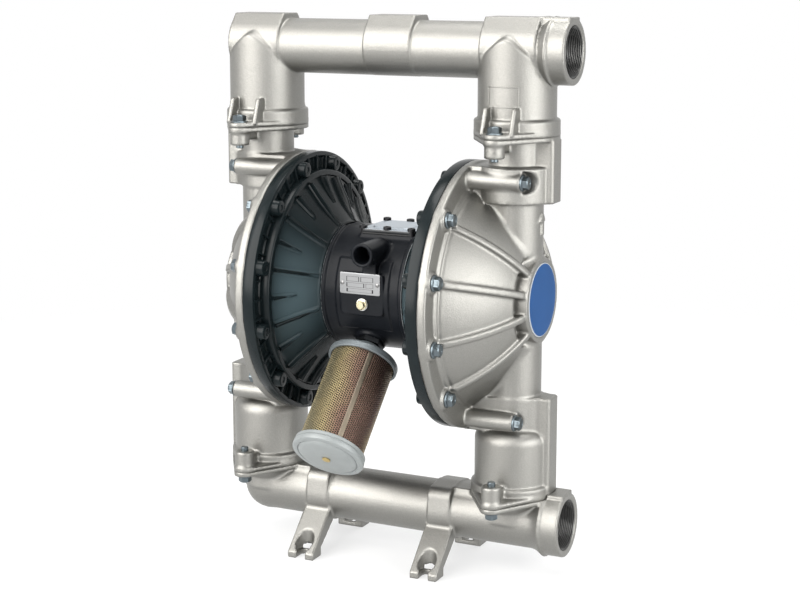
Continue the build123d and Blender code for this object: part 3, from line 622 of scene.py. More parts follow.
def fluid_cover_field(x, y, z):
    """Dome, rim, ridges, riser, lower chamber, webs, fins, flanges, ears and bosses of the right fluid cover."""
    w = z - shaft_z
    r = size(y, w)
    rise = size(x - riser_x, y)
    body = trim(r - 163.5, x, rim_x, 125, 1.8)
    body = fuse(body, size(r - 136.6, x - 125.2) - 3.2, 1.0)
    body = fuse(body, turned(dome_section, x, r), 2.0)
    body = cut(body, common(slab(r, 48, 60.5), 187 - x, 1.0), 1.2)
    for angle in bolt_angles:
        if is_long(angle):
            continue
        turn = math.radians(angle)
        across = w * math.cos(turn) - y * math.sin(turn)
        out = y * math.cos(turn) + w * math.sin(turn)
        ridge = common(common(turned(ridge_section, x, r), np.abs(across) - 4.2, 1.4), 20 - out, 0)
        body = fuse(body, ridge, 2.2)
    body = fuse(body, trim(r - 51, x, 150, hub_x, 1.0), 1.5)
    body = fuse(body, trim(rise - 33, z, 190, 541), 5.0)
    flank = trim(np.abs(y) - 32.6 - (x - 170) * 0.05, x, 117, 172)
    body = fuse(body, trim(flank, np.abs(w), 60, 130, 1.0), 2.4)
    body = fuse(body, upright(lower_chamber_section, z, rise), 3.0)
    plan = polygon(web_plan, x, y)
    for low in (shaft_z - 161, shaft_z + 118):
        web = trim(plan, z, low, low + 43, 1.0)
        body = fuse(body, web, 2.0)
    collar = common(trim(rise - 46, z, shaft_z + 118, shaft_z + 161, 1.0), y, 0)
    body = fuse(body, collar, 1.2)
    fin_plan = common(common(slab(x, riser_x, riser_x + 52), np.abs(y) - 15, 0), (x + np.abs(y) - 234) * 0.7071, 1.0)
    for low, high in ((106, shaft_z - 118), (shaft_z + 118, 537)):
        body = fuse(body, trim(fin_plan, z, low, high, 0.8), 2.0)
    for level, reach in ((541.5, (519.5, 541.5)), (102, (102, 128))):
        ear = ear_plan(x - riser_x, np.abs(y))
        sheet = slab(z, level - 6, level) if level > 300 else slab(z, level, level + 6)
        body = fuse(body, common(ear, sheet, 0.7), 0.9)
        post = size(x - riser_x, np.abs(y) - ear_y) - 12
        body = fuse(body, trim(post, z, *reach, 1.6), 2.5)
    arm = trim(np.abs(x - riser_x) - 4, np.abs(y), 20, 66, 1.0)
    body = fuse(body, trim(arm, z, 524, 538, 1.0), 3.0)
    arm = trim(np.abs(x - riser_x) - 8, np.abs(y), 30, 66, 2.0)
    body = fuse(body, trim(arm, z, 104, 121, 2.0), 3.0)
    for angle in bolt_angles:
        by, bz = bolt_place(angle)
        post = size(y - by, z - bz)
        if is_long(angle):
            end = long_boss_end(angle)
            body = fuse(body, trim(post - 10.75, x, rim_x, end, 1.0), 2.5)
            body = cut(body, trim(post - 13.0, x, end, 260, 0), 0.8)
        else:
            body = fuse(body, trim(post - 13, x, rim_x, 128, 1.0), 1.6)
    head = trim(np.abs(y) - (450 - z) * 0.8, z, 438, 450)
    arrow = np.minimum(head, trim(np.abs(y) - 3.0, z, 422, 440))
    body = fuse(body, common(common(arrow, rise - 35.2, 0.4), 185 - x, 0), 0.4)
    body = cut(body, trim(r - 45.1, x, hub_x - 1.6, 260, 0), 0.4)
    return cut(body, turned(cavity_section, x, r), 0.6)


def port_end_field(x, y, z, level):
    """Cone, round boss and flat pad at the threaded end of a manifold."""
    w = z - level
    r = size(y, w)
    boss = trim(r - 39, x, 216, port_face_x, 1.5)
    cone = trim(r - pipe_r - (x - 205) * 0.6, x, 200, 218)
    pad = brick(x, y, w, (200, port_face_x - 0.8, -17, 17, 0, 40), 0.6)
    return fuse(fuse(boss, cone, 3.0), pad, 0.8)


def port_hole_field(x, y, z, level, depth=120):
    """Hole in a manifold's end: the thread's bore with a chamfered mouth, and the pipe's bore beyond it."""
    r = size(y, z - level)
    mouth = np.maximum(r - 30.4 - np.maximum(x - port_face_x + 1.6, 0), slab(x, port_face_x - 27, 260))
    return np.minimum(mouth, np.maximum(r - 26.5, slab(x, port_face_x - depth, 260)))


band_profile = hull([(0, 3.2, 36.8), (-16.8, 38.8, 1.2), (16.8, 38.8, 1.2)])
foot_band_profile = hull([(0, 0, 36.4), (-20, 20, 14), (20, 20, 14)])
foot_profile = [(0, 58), (29, 58), (80.5, 7.6), (80.5, 0), (57.5, 0), (57.5, 10.5), (22, 38.5), (0, 38.5)]


def outlet_field(x, y, z):
    """Outlet pipe, its two chambers with flanges, ears and gussets, flat topped blocks and the port."""
    w = z - outlet_z
    body = trim(size(y, w) - pipe_r, x, -190, 216)
    band = polygon(band_profile, y, w)
    for lo, hi in ((-205, -135), (135, 205), (-17, 45)):
        body = fuse(body, trim(band, x, lo, hi, 0.8), 1.4)
    body = fuse(body, port_end_field(x, y, z, outlet_z), 2.0)
    side = np.abs(x) - riser_x
    rise = size(side, y)
    away = np.abs(y)
    roof = (w + size(side, 9.0) + 0.3 * (away - 37) - 26) * 0.68
    body = fuse(body, trim(common(rise - chamber_r, roof, 2.0), z, upper_joint_z, outlet_z + 37, 2.0), 1.6)
    skirt = upright([(-5, 541.5), (51.5, 541.5), (51.5, 558.6), (50.4, 560.4), (46.5, 562), (-5, 562)], z, rise)
    body = fuse(body, skirt, 0.5)
    body = fuse(body, trim(ear_plan(side, away), z, upper_joint_z, upper_joint_z + 6, 0.7), 0.7)
    slope = (away - 67) * 0.937 + (z - upper_joint_z - 6) * 0.349
    gusset = common(np.abs(np.abs(side) - 18) - 2.5, slope, 0.8)
    gusset = common(gusset, trim(slab(away, 20, 79), z, 545, 576, 0.5), 0.8)
    body = fuse(body, gusset, 1.0)
    return cut(body, port_hole_field(x, y, z, outlet_z), 0.5)


def inlet_field(x, y, z):
    """Inlet pipe with its elbow, flanges, foot bands, four feet and the port."""
    w = z - inlet_z
    r = size(y, w)
    body = trim(r - pipe_r, x, -riser_x, 216)
    body = fuse(body, size(x + riser_x, y, w) - 34.3, 2.0)
    body = fuse(body, port_end_field(x, y, z, inlet_z), 3.0)
    side = np.abs(x) - riser_x
    rise = size(side, y)
    throat = trim(rise - 36 - np.maximum(z - 82, 0) * 0.75, z, inlet_z, lower_joint_z, 1.0)
    body = fuse(body, throat, 3.5)
    away = np.abs(y)
    body = fuse(body, trim(ear_plan(side, away), z, lower_joint_z - 6, lower_joint_z, 0.7), 0.9)
    for lo, hi in ((-100, -70), (70, 100)):
        body = fuse(body, trim(polygon(foot_band_profile, y, w), x, lo, hi, 0.8), 1.5)
    link = common(np.abs(y) - 20, np.maximum(w - 34, -w), 1.5)
    body = fuse(body, trim(link, np.abs(x), 100, 134, 1.5), 4.0)
    leg = common(polygon(foot_profile, away, z), np.abs(np.abs(x) - foot_x) - 18, 1.2)
    body = fuse(body, leg, 3.0)
    post = size(np.abs(x) - foot_x, away - foot_y)
    body = cut(body, trim(post - 11.3, z, 6.8, 80, 0), 1.2)
    lane = trim(np.abs(np.abs(x) - foot_x) - 6.4, away, foot_y, 90)
    body = cut(body, trim(np.minimum(lane, post - 6.4), z, -5, 16), 0.8)
    body = cut(body, trim(size(x - riser_x, y) - 52.5, z, lower_joint_z, 140, 0), 0.6)
    return cut(body, port_hole_field(x, y, z, inlet_z), 0.5)


dish_rim = [
    (132.4, 92.6), (133.2, 91.8), (134, 91), (139, 91), (140.2, 91.6), (141, 93), (141.6, 102.5), (143, 104),
    (155, 104), (156.6, 102.6), (157.2, 100.6), (158.2, 99.6), (162, 99.6), (163.2, 100.3), (163.5, 101.5),
    (163.5, 112.8), (162.8, 114), (142, 114),
]
dish_inside = [(142, 111.5), (126.2, 111.5), (124.2, 108.5), (72, 64.5), (69, 63), (14, 63), (14, 55.5)]
dish_outside = [(14, 55.5), (76.5, 55.5), (77.6, 56), (78.2, 57), (79, 58)] + [
    (r, x) for x, r in arc((58, 79), (92.5, 130), -2.0, 16)
]


def rib(line, height, half, angle):
    """Cast rib at an angle round the shaft. Its foot follows a line of (x, radius) points; square to the line it rises
    to a height, and across it has a half width, with a hollow fillet at the foot and a rounded crest."""
    line = np.array(line, float)
    count = len(line)
    height = np.broadcast_to(height, count)[:, None]
    half = np.broadcast_to(half, count)[:, None]
    along = np.gradient(line, axis=0)
    normal = np.stack([-along[:, 1], along[:, 0]], 1) / np.hypot(along[:, 0], along[:, 1])[:, None]
    foot = np.minimum(np.array([-1.5, 0.0, 0.5, 1.3, 3.0]), height)
    crest = np.maximum(height + np.array([-1.2, -0.4, 0.0]), 0)
    up = np.concatenate([foot, crest], 1)
    wide = np.maximum(half + np.array([3.0, 3.0, 1.3, 0.4, 0.0, -0.1, -0.5, -1.2]), 0.05)
    up, wide = np.concatenate([up, up[:, ::-1]], 1), np.concatenate([wide, -wide[:, ::-1]], 1)
    turn = math.radians(angle)
    radial, across = np.array((0, math.cos(turn), math.sin(turn))), np.array((0, -math.sin(turn), math.cos(turn)))
    flat = line[:, None, :] + up[:, :, None] * normal[:, None, :]
    points = flat[..., :1] * np.array((1, 0, 0)) + flat[..., 1:] * radial + wide[..., None] * across
    middle = points.mean(1, keepdims=True)
    ends = middle + 0.01 * (points - middle)
    points = np.concatenate([ends[:1], points, ends[-1:]]).reshape(-1, 3)
    return points + np.array((0, 0, shaft_z)), grid_faces(count + 2, 16)


def air_cover_shape():
    """Dished cover: a turned shell with 12 long and 12 short ribs, webs across the trough and a boss at each bolt."""
    shapes = [placed(spun(dish_outside + dish_rim + dish_inside, 180), (0, 0, shaft_z), (1, 0, 0))]
    cone = np.array(arc((57.4, 78.5), (92.0, 131), -2.0, 26))
    tail = cone[11:]
    grow = np.linspace(0, 1, len(tail))
    web = [(104, r) for r in (139, 145, 152, 159)]
    boss = [(0.01, 92.6), (3.6, 92.6), (4, 91.6), (7.4, 91.2), (8.9, 92), (9.4, 93.6), (9.7, 98), (11.4, 101)]
    boss = spun(boss + [(12, 105), (0.01, 105)], 40)
    for angle in bolt_angles:
        shapes.append(placed(boss, (0, *bolt_place(angle)), (1, 0, 0)))
        shapes.append(rib(cone, 1.2 + 5.6 * np.minimum(1, 2.2 * np.linspace(0, 1, 26)), 2.0, angle))
        shapes.append(rib(tail, 7.0 * grow**0.7, 0.6 + 1.5 * grow, angle + 15))
        for off, half in ((15, 1.4), (-6.2, 1.2), (6.2, 1.2)):
            shapes.append(rib(web, 6.0, half, angle + off))
    return together(shapes)


def motor_field(x, y, z):
    """Air motor housing: barrel with rims, front panel and pad, air inlet boss, exhaust boss and top pocket rim."""
    w = z - shaft_z
    r = size(y, w)
    body = trim(r - motor_r, x, -motor_half, motor_half, 1.8)
    body = fuse(body, trim(r - 77.9, np.abs(x), 49.5, motor_half, 0.7), 1.0)
    panel = common(trim(r - motor_r - 1.5, x, -34, 37, 0.8), np.maximum(slab(w, -42, 44), y + 10), 0.8)
    body = fuse(body, panel, 1.0)
    pad = common(brick(x, y + 60, w, (-27, 31, -18, 18, -23, 29), 0), np.maximum(np.abs(x - 2), 0) - 29, 0)
    pad = common(pad, size(np.maximum(np.abs(x - 2) - 23, 0), np.maximum(np.abs(w - 3) - 20, 0)) - 6, 0.7)
    body = fuse(body, pad, 1.0)
    neck = common(np.abs(x - 12) - 9, common(slab(w, 26, 52), -78 - y, 0.5), 0.8)
    body = fuse(body, common(neck, y + 60, 0), 1.5)
    boss = trim(size(x - 12, w - 54.5) - 14.5, y, -98, -45, 1.2)
    body = fuse(body, boss, 5.0)
    s = -(y - exhaust_y) * 0.7071 - (z - exhaust_z) * 0.7071
    t = (y - exhaust_y) * 0.7071 - (z - exhaust_z) * 0.7071
    body = fuse(body, trim(size(x, t) - 19, s, -26, 4, 1.5), 4.0)
    tower = brick(x, y, w, (-21, 51, -37, 37, 40, 71), 2.0)
    body = fuse(body, tower, 3.0)
    wing = brick(x, y, w, (-40, 53, -20, 20, 60, 72.5), 2.5)
    body = fuse(body, wing, 2.0)
    body = cut(body, brick(x, y, w, (-21.5, 51.5, -37.5, 37.5, 71, 90), 0), 0.3)
    body = cut(body, trim(size(x - 12, w - 54.5) - 10.6, y, -120, -62, 0), 1.0)
    return body


def cast_frame():
    """Thin raised frame on the front of the right upper chamber: a low ridge whose section is carried round a
    rectangle of arc length and height on the chamber's cylinder."""
    low, high, left, right, side = 576.5, 600.0, -19.0, 19.0, 16
    t, one = np.linspace(0, 1, side, endpoint=False), np.ones(side)
    s = np.concatenate([left + (right - left) * t, right * one, right - (right - left) * t, left * one])
    z = np.concatenate([low * one, low + (high - low) * t, high * one, high - (high - low) * t])
    ds, dz = np.roll(s, -1) - np.roll(s, 1), np.roll(z, -1) - np.roll(z, 1)
    long = np.hypot(ds, dz)
    wide = np.array([-0.75, -0.45, 0.45, 0.75])
    rise = np.array([-0.4, 1.0, 1.0, -0.4]) + chamber_r
    s = s[:, None] + wide * (dz / long)[:, None]
    z = z[:, None] - wide * (ds / long)[:, None]
    turn = s / chamber_r
    points = np.stack([riser_x + rise * np.sin(turn), -rise * np.cos(turn), z], -1).reshape(-1, 3)
    return points, grid_faces(4 * side, 4, ring=True)


def both_sides(name, shape, finish, slot, node, sharp=35):
    """The same piece on both sides of the pump."""
    for side, form in (("right", shape), ("left", half_turned(shape))):
        piece(f"{name}_{side}", form, finish, slot, f"{node}_{side}", sharp=sharp)


def castings(look):
    """The large castings, each the skin of a distance field."""
    step = look.casting_step
    metal = cast_stainless(look)
    cover = skin(fluid_cover_field, (114, -164, 102), (222, 164, 541.5), step)
    both_sides("fluid_cover_casting", cover, metal, "cast_stainless", "fluid_cover", sharp=0)
    fine = step * 0.82
    outlet = together([skin(outlet_field, (-222, -84, 541.5), (241, 84, 680), fine), cast_frame()])
    piece("outlet_manifold_casting", outlet, metal, "cast_stainless", "outlet_manifold", sharp=0)
    inlet = skin(inlet_field, (-222, -84, 0), (241, 84, 108), fine)
    piece("inlet_manifold_casting", inlet, metal, "cast_stainless", "inlet_manifold", sharp=0)


def port_thread(level):
    """Internal taper thread: a tube whose radius falls and rises once each pitch along a helix."""
    count, rows, pitch = 96, 120, 2.2
    turn = np.linspace(0, 2 * np.pi, count, endpoint=False)[None, :]
    deep = np.linspace(0, 26.0, rows)[:, None]
    phase = (deep / pitch + turn / (2 * np.pi)) % 1.0
    radius = 30.35 - 1.35 * (1 - np.abs(2 * phase - 1)) * np.clip(deep / 1.5, 0, 1) - deep * 0.02
    x = np.broadcast_to(port_face_x - 0.8 - deep, radius.shape)
    points = np.stack([x, radius * np.cos(turn), level + radius * np.sin(turn)], -1).reshape(-1, 3)
    return points, grid_faces(rows, count)[:, ::-1]


def flange_bolt(grip, shank=4.75, across=14.3, height=9.0, washer=10.0):
    """Hexagon flange bolt that stands on the origin: shank, washer, six flats, turned chamfer and shallow crown."""
    half, top = across / 2, height - 0.5
    profile = [
        (0.01, -grip), (shank - 0.6, -grip), (shank, -grip + 0.8), (shank, -0.02), (washer - 0.4, -0.02),
        (washer, 0.3), (washer, 1.2), (half + 1.6, 2.3), (half, 2.5), (half, height - 1.1), (half * 0.97, top),
        (half * 0.88, height), (half * 0.55, height), (half * 0.5, top), (0.01, top),
    ]
    return spun(profile, 48, [0] * 8 + [1, 1] + [0] * 5)


def socket_screw(head_r, head_h, shank, grip):
    """Round headed socket screw that stands on the origin, with a six sided socket."""
    profile = [
        (0.01, -grip), (shank, -grip), (shank, -0.01), (head_r, -0.01), (head_r, head_h - 0.8), (head_r - 0.8, head_h),
        (head_r * 0.5, head_h), (head_r * 0.5, head_h * 0.4), (0.01, head_h * 0.4),
    ]
    return spun(profile, 36, [0] * 6 + [1] * 3)


def fasteners(look):
    """Every bolt and screw that shows, turned to different angles as they are after tightening."""
    bright = steel("bolt_steel", look.bolt_colour, 0.22)
    rim, tall = [], []
    for k, angle in enumerate(bolt_angles):
        bearing = long_boss_end(angle) if is_long(angle) else 128.0
        bolt = placed(flange_bolt(bearing - 96.0), (bearing, *bolt_place(angle)), (1, 0, 0), 0.37 * k)
        (tall if is_long(angle) else rim).append(bolt)
    both_sides("rim_bolts_set", together(rim), bright, "bolt_steel", "rim_bolts")
    both_sides("long_bolts_set", together(tall), bright, "bolt_steel", "long_bolts")
    ears = [(x, y) for x in (-riser_x, riser_x) for y in (-ear_y, ear_y)]
    for side, grip, level, up, spin in (
        ("outlet", 32, upper_joint_z + 6, 1, 0.5),
        ("inlet", 37, lower_joint_z - 6, -1, 0.8),
    ):
        bolts = [placed(flange_bolt(grip), (x, y, level), (0, 0, up), spin * k) for k, (x, y) in enumerate(ears)]
        piece(f"{side}_bolts_set", together(bolts), bright, "bolt_steel", f"{side}_manifold_bolts")
    dark = painted("black_screws", (0.02, 0.02, 0.022), 0.35, 0.6)
    screws = [
        placed(socket_screw(5, 3.6, 3, 16), (x, y, shaft_z + 77), (0, 0, 1), 0.4 * k)
        for k, (x, y) in enumerate((x, y) for x in (-17.5, 15, 47.5) for y in (-33.5, 33.5))
    ]
    piece("valve_cover_screw_set", together(screws), dark, "black_screws", "valve_cover_screws")


def rounded_plan(a, b, half_a, half_b, r):
    """Distance to a rectangle about the origin with round corners."""
    return size(np.maximum(np.abs(a) - half_a, 0), np.maximum(np.abs(b) - half_b, 0)) - r


def lid_field(x, y, z):
    """Valve cover: a plate with round corners and a slightly raised middle."""
    plate = trim(rounded_plan(x - 15, y, 30, 31, 6), z, 416.5, 421, 0.8)
    return fuse(plate, trim(rounded_plan(x - 15, y, 17, 18, 8), z, 418, 422.5, 0.6), 0.8)


def sheet_field(x, y, z):
    """Nameplate with round corners."""
    return trim(rounded_plan(x, z - 360, 25, 11, 2), y, -78.8, -78.0, 0.15)


def air_section(look):
    """Black covers, housing, valve cover, nameplate, rivets and ground screw."""
    step = look.detail_step
    # the covers' enamel carries a painted sheen on the front of the dish
    gloss = enamel("cover_enamel", look.cover_colour, 0.17, 0.0002, 0.16, painted_sheen=0.55)
    satin = enamel("housing_enamel", look.enamel_colour, 0.27, 0.00015, 0.12, painted_rim_highlight=0.8)
    # the housing's enamel carries a painted highlight along its rims
    both_sides("air_cover_casting", air_cover_shape(), gloss, "cover_enamel", "air_cover")
    motor = skin(motor_field, (-55, -98, 262), (55, 77, 417), step - 0.3)
    piece("motor_housing_casting", motor, satin, "housing_enamel", "motor_housing", sharp=0)
    lid = skin(lid_field, (-21, -37, 416), (51, 37, 423), 1.2)
    piece("valve_cover_plate", lid, valve_cover_finish(), "valve_cover_metal", "valve_cover", sharp=0)
    sheet = skin(sheet_field, (-27, -79, 347), (27, -78, 373), 0.6)
    piece("nameplate_sheet", sheet, nameplate_finish(), "nameplate_aluminium", "nameplate", sharp=40)
    front = (0, -1, 0)
    rivet = spun([(0.01, -6), (1.5, -6), (1.5, 0), (2.6, 0), (2.5, 0.4), (1.8, 0.8), (0.9, 1.0), (0.01, 1.05)], 24)
    pair = together([placed(rivet, (x, -78.8, 360), front) for x in (-23.5, 23.5)])
    grey = steel("rivet_steel", (0.25, 0.25, 0.25), 0.3)
    piece("nameplate_rivet_pair", pair, grey, "nameplate_aluminium", "nameplate_rivets")
    gold = steel("ground_screw_zinc", (0.66, 0.60, 0.42), 0.2)
    head = placed(flange_bolt(8, 4, 10, 6.0, 6.6), (3, -79.2, 335), front, 0.3)
    piece("ground_screw_head", head, gold, "bolt_steel", "ground_screw")
    washer = placed(spun([(4.2, 0), (7.5, 0), (7.5, 1.4), (4.2, 1.4)], 48), (3, -78, 335), front)
    piece("ground_screw_washer", washer, steel("washer_zinc", (0.62, 0.64, 0.66), 0.2), "bolt_steel")


def on_exhaust(shape, spin=0.0):
    """A shape whose +Z is the distance along the exhaust, carried to its place."""
    return placed(shape, (0, exhaust_y, exhaust_z), exhaust, spin)


def perforated_tube():
    """Perforated sheet rolled to a tube: staggered holes, each a hexagonal cell whose inner ring is the hole's edge
    and outer ring the cell's border, on a cylinder of angle and distance. Two columns are left out for the seam."""
    border = np.array([(2 / 3, 0), (1 / 3, 0.5), (-1 / 3, 0.5), (-2 / 3, 0), (-1 / 3, -0.5), (1 / 3, -0.5)])
    corner = np.arange(6) * np.pi / 3
    unit = np.concatenate([border, np.stack([np.cos(corner) * 0.47, np.sin(corner) * 0.44], 1)])
    i, j = np.meshgrid(np.arange(hole_rows + 1), np.arange(holes_round), indexing="ij")
    keep = (j >= 2) & ((i < hole_rows) | (j % 2 == 1))
    i, j = i[keep][:, None], j[keep][:, None]
    u = (j + 0.5 + unit[:, 0]) * (2 * np.pi / holes_round)
    rise = np.clip(i + unit[:, 1] + 0.5 - 0.5 * (j % 2), 0, hole_rows)
    v = tube_low + rise * ((tube_high - tube_low) / hole_rows)
    points = np.stack([tube_r * np.cos(u), tube_r * np.sin(u), v], -1).reshape(-1, 3)
    k = np.arange(6)
    ring = np.stack([k, (k + 1) % 6, (k + 1) % 6 + 6, k + 6], 1)
    faces = (ring[None] + (np.arange(len(i)) * 12)[:, None, None]).reshape(-1, 4)
    _, first, same = np.unique(np.round(points, 3), axis=0, return_index=True, return_inverse=True)
    faces = np.array(same).reshape(-1)[faces]
    points = points[first]
    whole = np.linalg.norm(points[faces[:, 0]] - points[faces[:, 1]], axis=1) > 0.05
    return points, faces[whole]


def seam_strip():
    """Plain strip of a cylinder over the tube's seam."""
    turn = np.linspace(-0.004, 4 * np.pi / holes_round + 0.004, 10)
    u, v = np.meshgrid(turn, np.linspace(tube_low, tube_high, 20))
    return np.stack([39.5 * np.cos(u), 39.5 * np.sin(u), v], -1).reshape(-1, 3), grid_faces(20, 10, False)


def thicken(sheet, wall):
    """Gives a sheet its wall, inwards."""
    solid = sheet.modifiers.new("wall", "SOLIDIFY")
    solid.thickness, solid.offset = wall, -1


nipple_profile = [
    (9.5, -28), (13, -28), (13, 3.9), (15.2, 4), (15.2, 4.5), (15.2, 9.5), (15.2, 10), (13, 10.1), (13, 27),
    (9.5, 27), (9.5, -28),
]
top_cap_profile = [
    (13.1, 13), (18, 13), (18.6, 13.6), (19.4, 17), (22, 19), (38.8, 25.4), (41.5, 26.6), (43.0, 28.4), (43.6, 30),
    (43.6, 35.2), (42.9, 36), (40.6, 36), (39.9, 35.2), (39.9, 31.5), (13.1, 31.5), (13.1, 13),
]
bottom_cap_profile = [
    (3.1, 160), (39.9, 160), (39.9, 154.6), (40.5, 154), (42.8, 154), (43.6, 154.8), (43.6, 158.2), (42.9, 158.9),
    (42.9, 159.6), (44.2, 160.4), (44.2, 163.8), (43.7, 165.2), (42.4, 166), (37.8, 166), (37.2, 165.2), (36.4, 165.2),
    (35.6, 166.4), (33.5, 167.9), (31, 168.6), (16, 169.0), (3.1, 169.1), (3.1, 160),
]
tie_rod_profile = [(0.01, 31), (3, 31), (3, 169.4), (5.0, 169.5), (5.0, 170.4), (2.6, 170.8), (2.4, 171), (0.01, 171)]


def muffler(look):
    """Nipple, both caps, perforated tube over its packing, seam strip and the tie rod's ends."""
    dark = painted("muffler_cap_dark", look.top_cap_colour, 0.34, 0.35)
    pale = painted("muffler_cap_light", look.bottom_cap_colour, 0.36, 0.2)
    black = steel("nipple_steel", (0.07, 0.075, 0.08), 0.3)
    brass = steel("tie_rod_brass", (0.50, 0.38, 0.16), 0.25)
    nipple = spun(nipple_profile, 72, [0] * 3 + [1] * 4 + [0] * 4)
    piece("muffler_nipple_hex", on_exhaust(nipple), black, "nipple_steel", "muffler_nipple")
    top, bottom = on_exhaust(spun(top_cap_profile, 128)), on_exhaust(spun(bottom_cap_profile, 128))
    piece("muffler_top_cap_casting", top, dark, "muffler_cap_dark", "muffler_top_cap")
    piece("muffler_bottom_cap_casting", bottom, pale, "muffler_cap_light", "muffler_bottom_cap")
    tube = on_exhaust(perforated_tube(), look.seam_turn)
    tube = piece("muffler_perforated_tube", tube, perforated_finish(), "muffler_perforated", "muffler_tube", sharp=60)
    thicken(tube, 0.0009)
    seam, zinc = on_exhaust(seam_strip(), look.seam_turn), steel("seam_zinc", (0.26, 0.22, 0.17), 0.3)
    thicken(piece("muffler_seam_strip", seam, zinc, "muffler_perforated"), 0.0008)
    piece("muffler_tie_rod_end", on_exhaust(spun(tie_rod_profile, 24)), brass, "bolt_steel", "muffler_tie_rod")


def small_pieces(look):
    """Badges in the hubs and threads in the ports."""
    badge = spun([(0.01, 0), (44.4, 0), (44.8, 0.3), (44.8, 1.2), (44.3, 1.9), (42, 2.2), (30, 2.36), (0.01, 2.4)], 128)
    badge = placed(badge, (hub_x - 1.5, 0, shaft_z), (1, 0, 0))
    both_sides("badge_disc", badge, badge_finish(look.badge_colour), "badge_blue", "badge")
    cutmetal = steel("thread_metal", (0.10, 0.10, 0.098), 0.24)
    for name, level in (("inlet_port_thread", inlet_z), ("outlet_port_thread", outlet_z)):
        piece(name, port_thread(level), cutmetal, "cast_stainless", sharp=25)


def inner_finishes(_):
    """Finishes of the solids that keep their own shape. A star stands for the left and the right one."""
    for finish, names in (
        (
            soft("seal_rubber", (0.02, 0.02, 0.02), 0.6),
            "air_cover_gasket* diaphragm* inlet_seat_seal* outlet_seat_seal* valve_cover_gasket shaft_seals",
        ),
        (painted("plate_aluminium", (0.6, 0.61, 0.62), 0.4, 0.8), "air_plate*"),
        (steel("turned_steel", (0.6, 0.59, 0.57), 0.25), "fluid_plate* inlet_seat* outlet_seat*"),
        (steel("ground_steel", (0.66, 0.66, 0.66), 0.1), "diaphragm_shaft pilot_rod"),
        (steel("bushing_brass", (0.6, 0.44, 0.2), 0.3), "shaft_bushings"),
        (soft("ball_plastic", (0.8, 0.8, 0.77), 0.35), "inlet_ball* outlet_ball*"),
        (soft("valve_plastic", (0.08, 0.08, 0.09), 0.4), "valve_plate valve_carriage"),
        (painted("inner_screws", (0.03, 0.03, 0.03), 0.4, 0.5), "air_cover_screws*"),
        (soft("muffler_felt", (0.05, 0.042, 0.028), 0.8), "muffler_packing"),
    ):
        for name in names.split():
            for side in ("_left", "_right") if name.endswith("*") else ("",):
                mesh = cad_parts[name.rstrip("*") + side].data
                mesh.materials.clear()
                mesh.materials.append(finish)


def floor():
    """Pale floor that keeps the shadow near the pump and turns to plain white further off."""
    mesh = bpy.data.meshes.new("floor")
    mesh.from_pydata([(-8, -8, 0), (8, -8, 0), (8, 8, 0), (-8, 8, 0)], [], [(0, 1, 2, 3)])
    f = Finish("floor_paper")
    mesh.materials.append(f.shade(base_color=(0.86, 0.86, 0.86, 1), roughness=0.9))
    x, y, z = f.axes()
    far = ((length(x, y) - 0.5) / 1.1).clamp() * 0.36 + 0.64
    glow = f.node("ShaderNodeEmission", {}, {0: (1, 1, 1, 1), 1: 1.0})
    paper = Value(f, f.shader.outputs[0])
    both = f.node("ShaderNodeMixShader", {}, {0: f.white_rays() * far, 1: paper, 2: glow})
    f.put(f.tree.nodes["Material Output"], 0, both)
    add_object("floor", mesh)


def surround(look):
    """White for the camera, mirrors and glass; for the light on the pump, a soft fall from the left to the right."""
    world = bpy.data.worlds.new("surround")
    bpy.context.scene.world = world
    world.use_nodes = True
    world.node_tree.nodes.clear()
    sky = Nodes(world.node_tree)
    x, y, z = sky.axes("Generated")
    fall = {0: x, 1: -1.0, 2: 1.0, 3: look.surround_left, 4: look.surround_right}
    power = sky.node("ShaderNodeMapRange", {}, fall)
    light = sky.node("ShaderNodeBackground", {}, {0: (0.93, 0.97, 1.0, 1), 1: power})
    white = sky.node("ShaderNodeBackground", {}, {0: (1, 1, 1, 1)})
    mix = sky.node("ShaderNodeMixShader", {}, {0: sky.white_rays(), 1: light, 2: white})
    sky.node("ShaderNodeOutputWorld", {}, {0: mix})


def camera():
    """Camera fitted to the photograph: aimed at the shaft's middle, then moved sideways and upwards in its plane."""
    azimuth, elevation, distance, slide, lift = 25.52, 9.40, 2.095, 0.0146, 0.0620
    shot = bpy.data.cameras.new("camera")
    holder = bpy.context.scene.camera = add_object("camera", shot)
    turn, tilt = math.radians(azimuth), math.radians(elevation)
    back = Vector((math.sin(turn) * math.cos(tilt), -math.cos(turn) * math.cos(tilt), math.sin(tilt)))
    right = Vector((math.cos(turn), math.sin(turn), 0))
    up = back.cross(right)
    middle = Vector((0, 0, shaft_z / 1000))
    holder.location = middle + right * slide + up * lift + back * distance
    holder.rotation_euler = (-back).to_track_quat("-Z", "Y").to_euler()
    shot.sensor_width = 36.0
    shot.lens, shot.shift_y = 75.5, -0.08
    shot.clip_start, shot.clip_end = 0.05, 60


def stage(look):
    """Pale floor, soft lamps, a white surround and the camera."""
    floor()
    surround(look)
    for name, at, aim, wide, power, tint in (
        ("key", (-1.3, -2.7, 1.8), (0, 0, 0.35), 3.6, look.key_power, (1.0, 0.98, 0.955)),
        ("fill", (2.6, -0.85, 0.5), (0, 0, 0.35), 2.4, look.fill_power, (1.0, 0.995, 0.98)),
        ("top", (0.2, 0.3, 2.4), (0, 0, 0.3), 1.4, look.top_power, (1.0, 0.99, 0.97)),
    ):
        lamp = bpy.data.lights.new(name, "AREA")
        lamp.shape, lamp.size, lamp.energy, lamp.color = "SQUARE", wide, power, tint
        holder = add_object(name, lamp)
        holder.location = at
        holder.rotation_euler = (Vector(aim) - Vector(at)).to_track_quat("-Z", "Y").to_euler()
    camera()
    bpy.context.scene.view_settings.view_transform = "Standard"


# ---- add-on


def a_colour(name, text, default):
    """Colour that a user can change."""
    return FloatVectorProperty(name=name, description=text, subtype="COLOR", default=default)


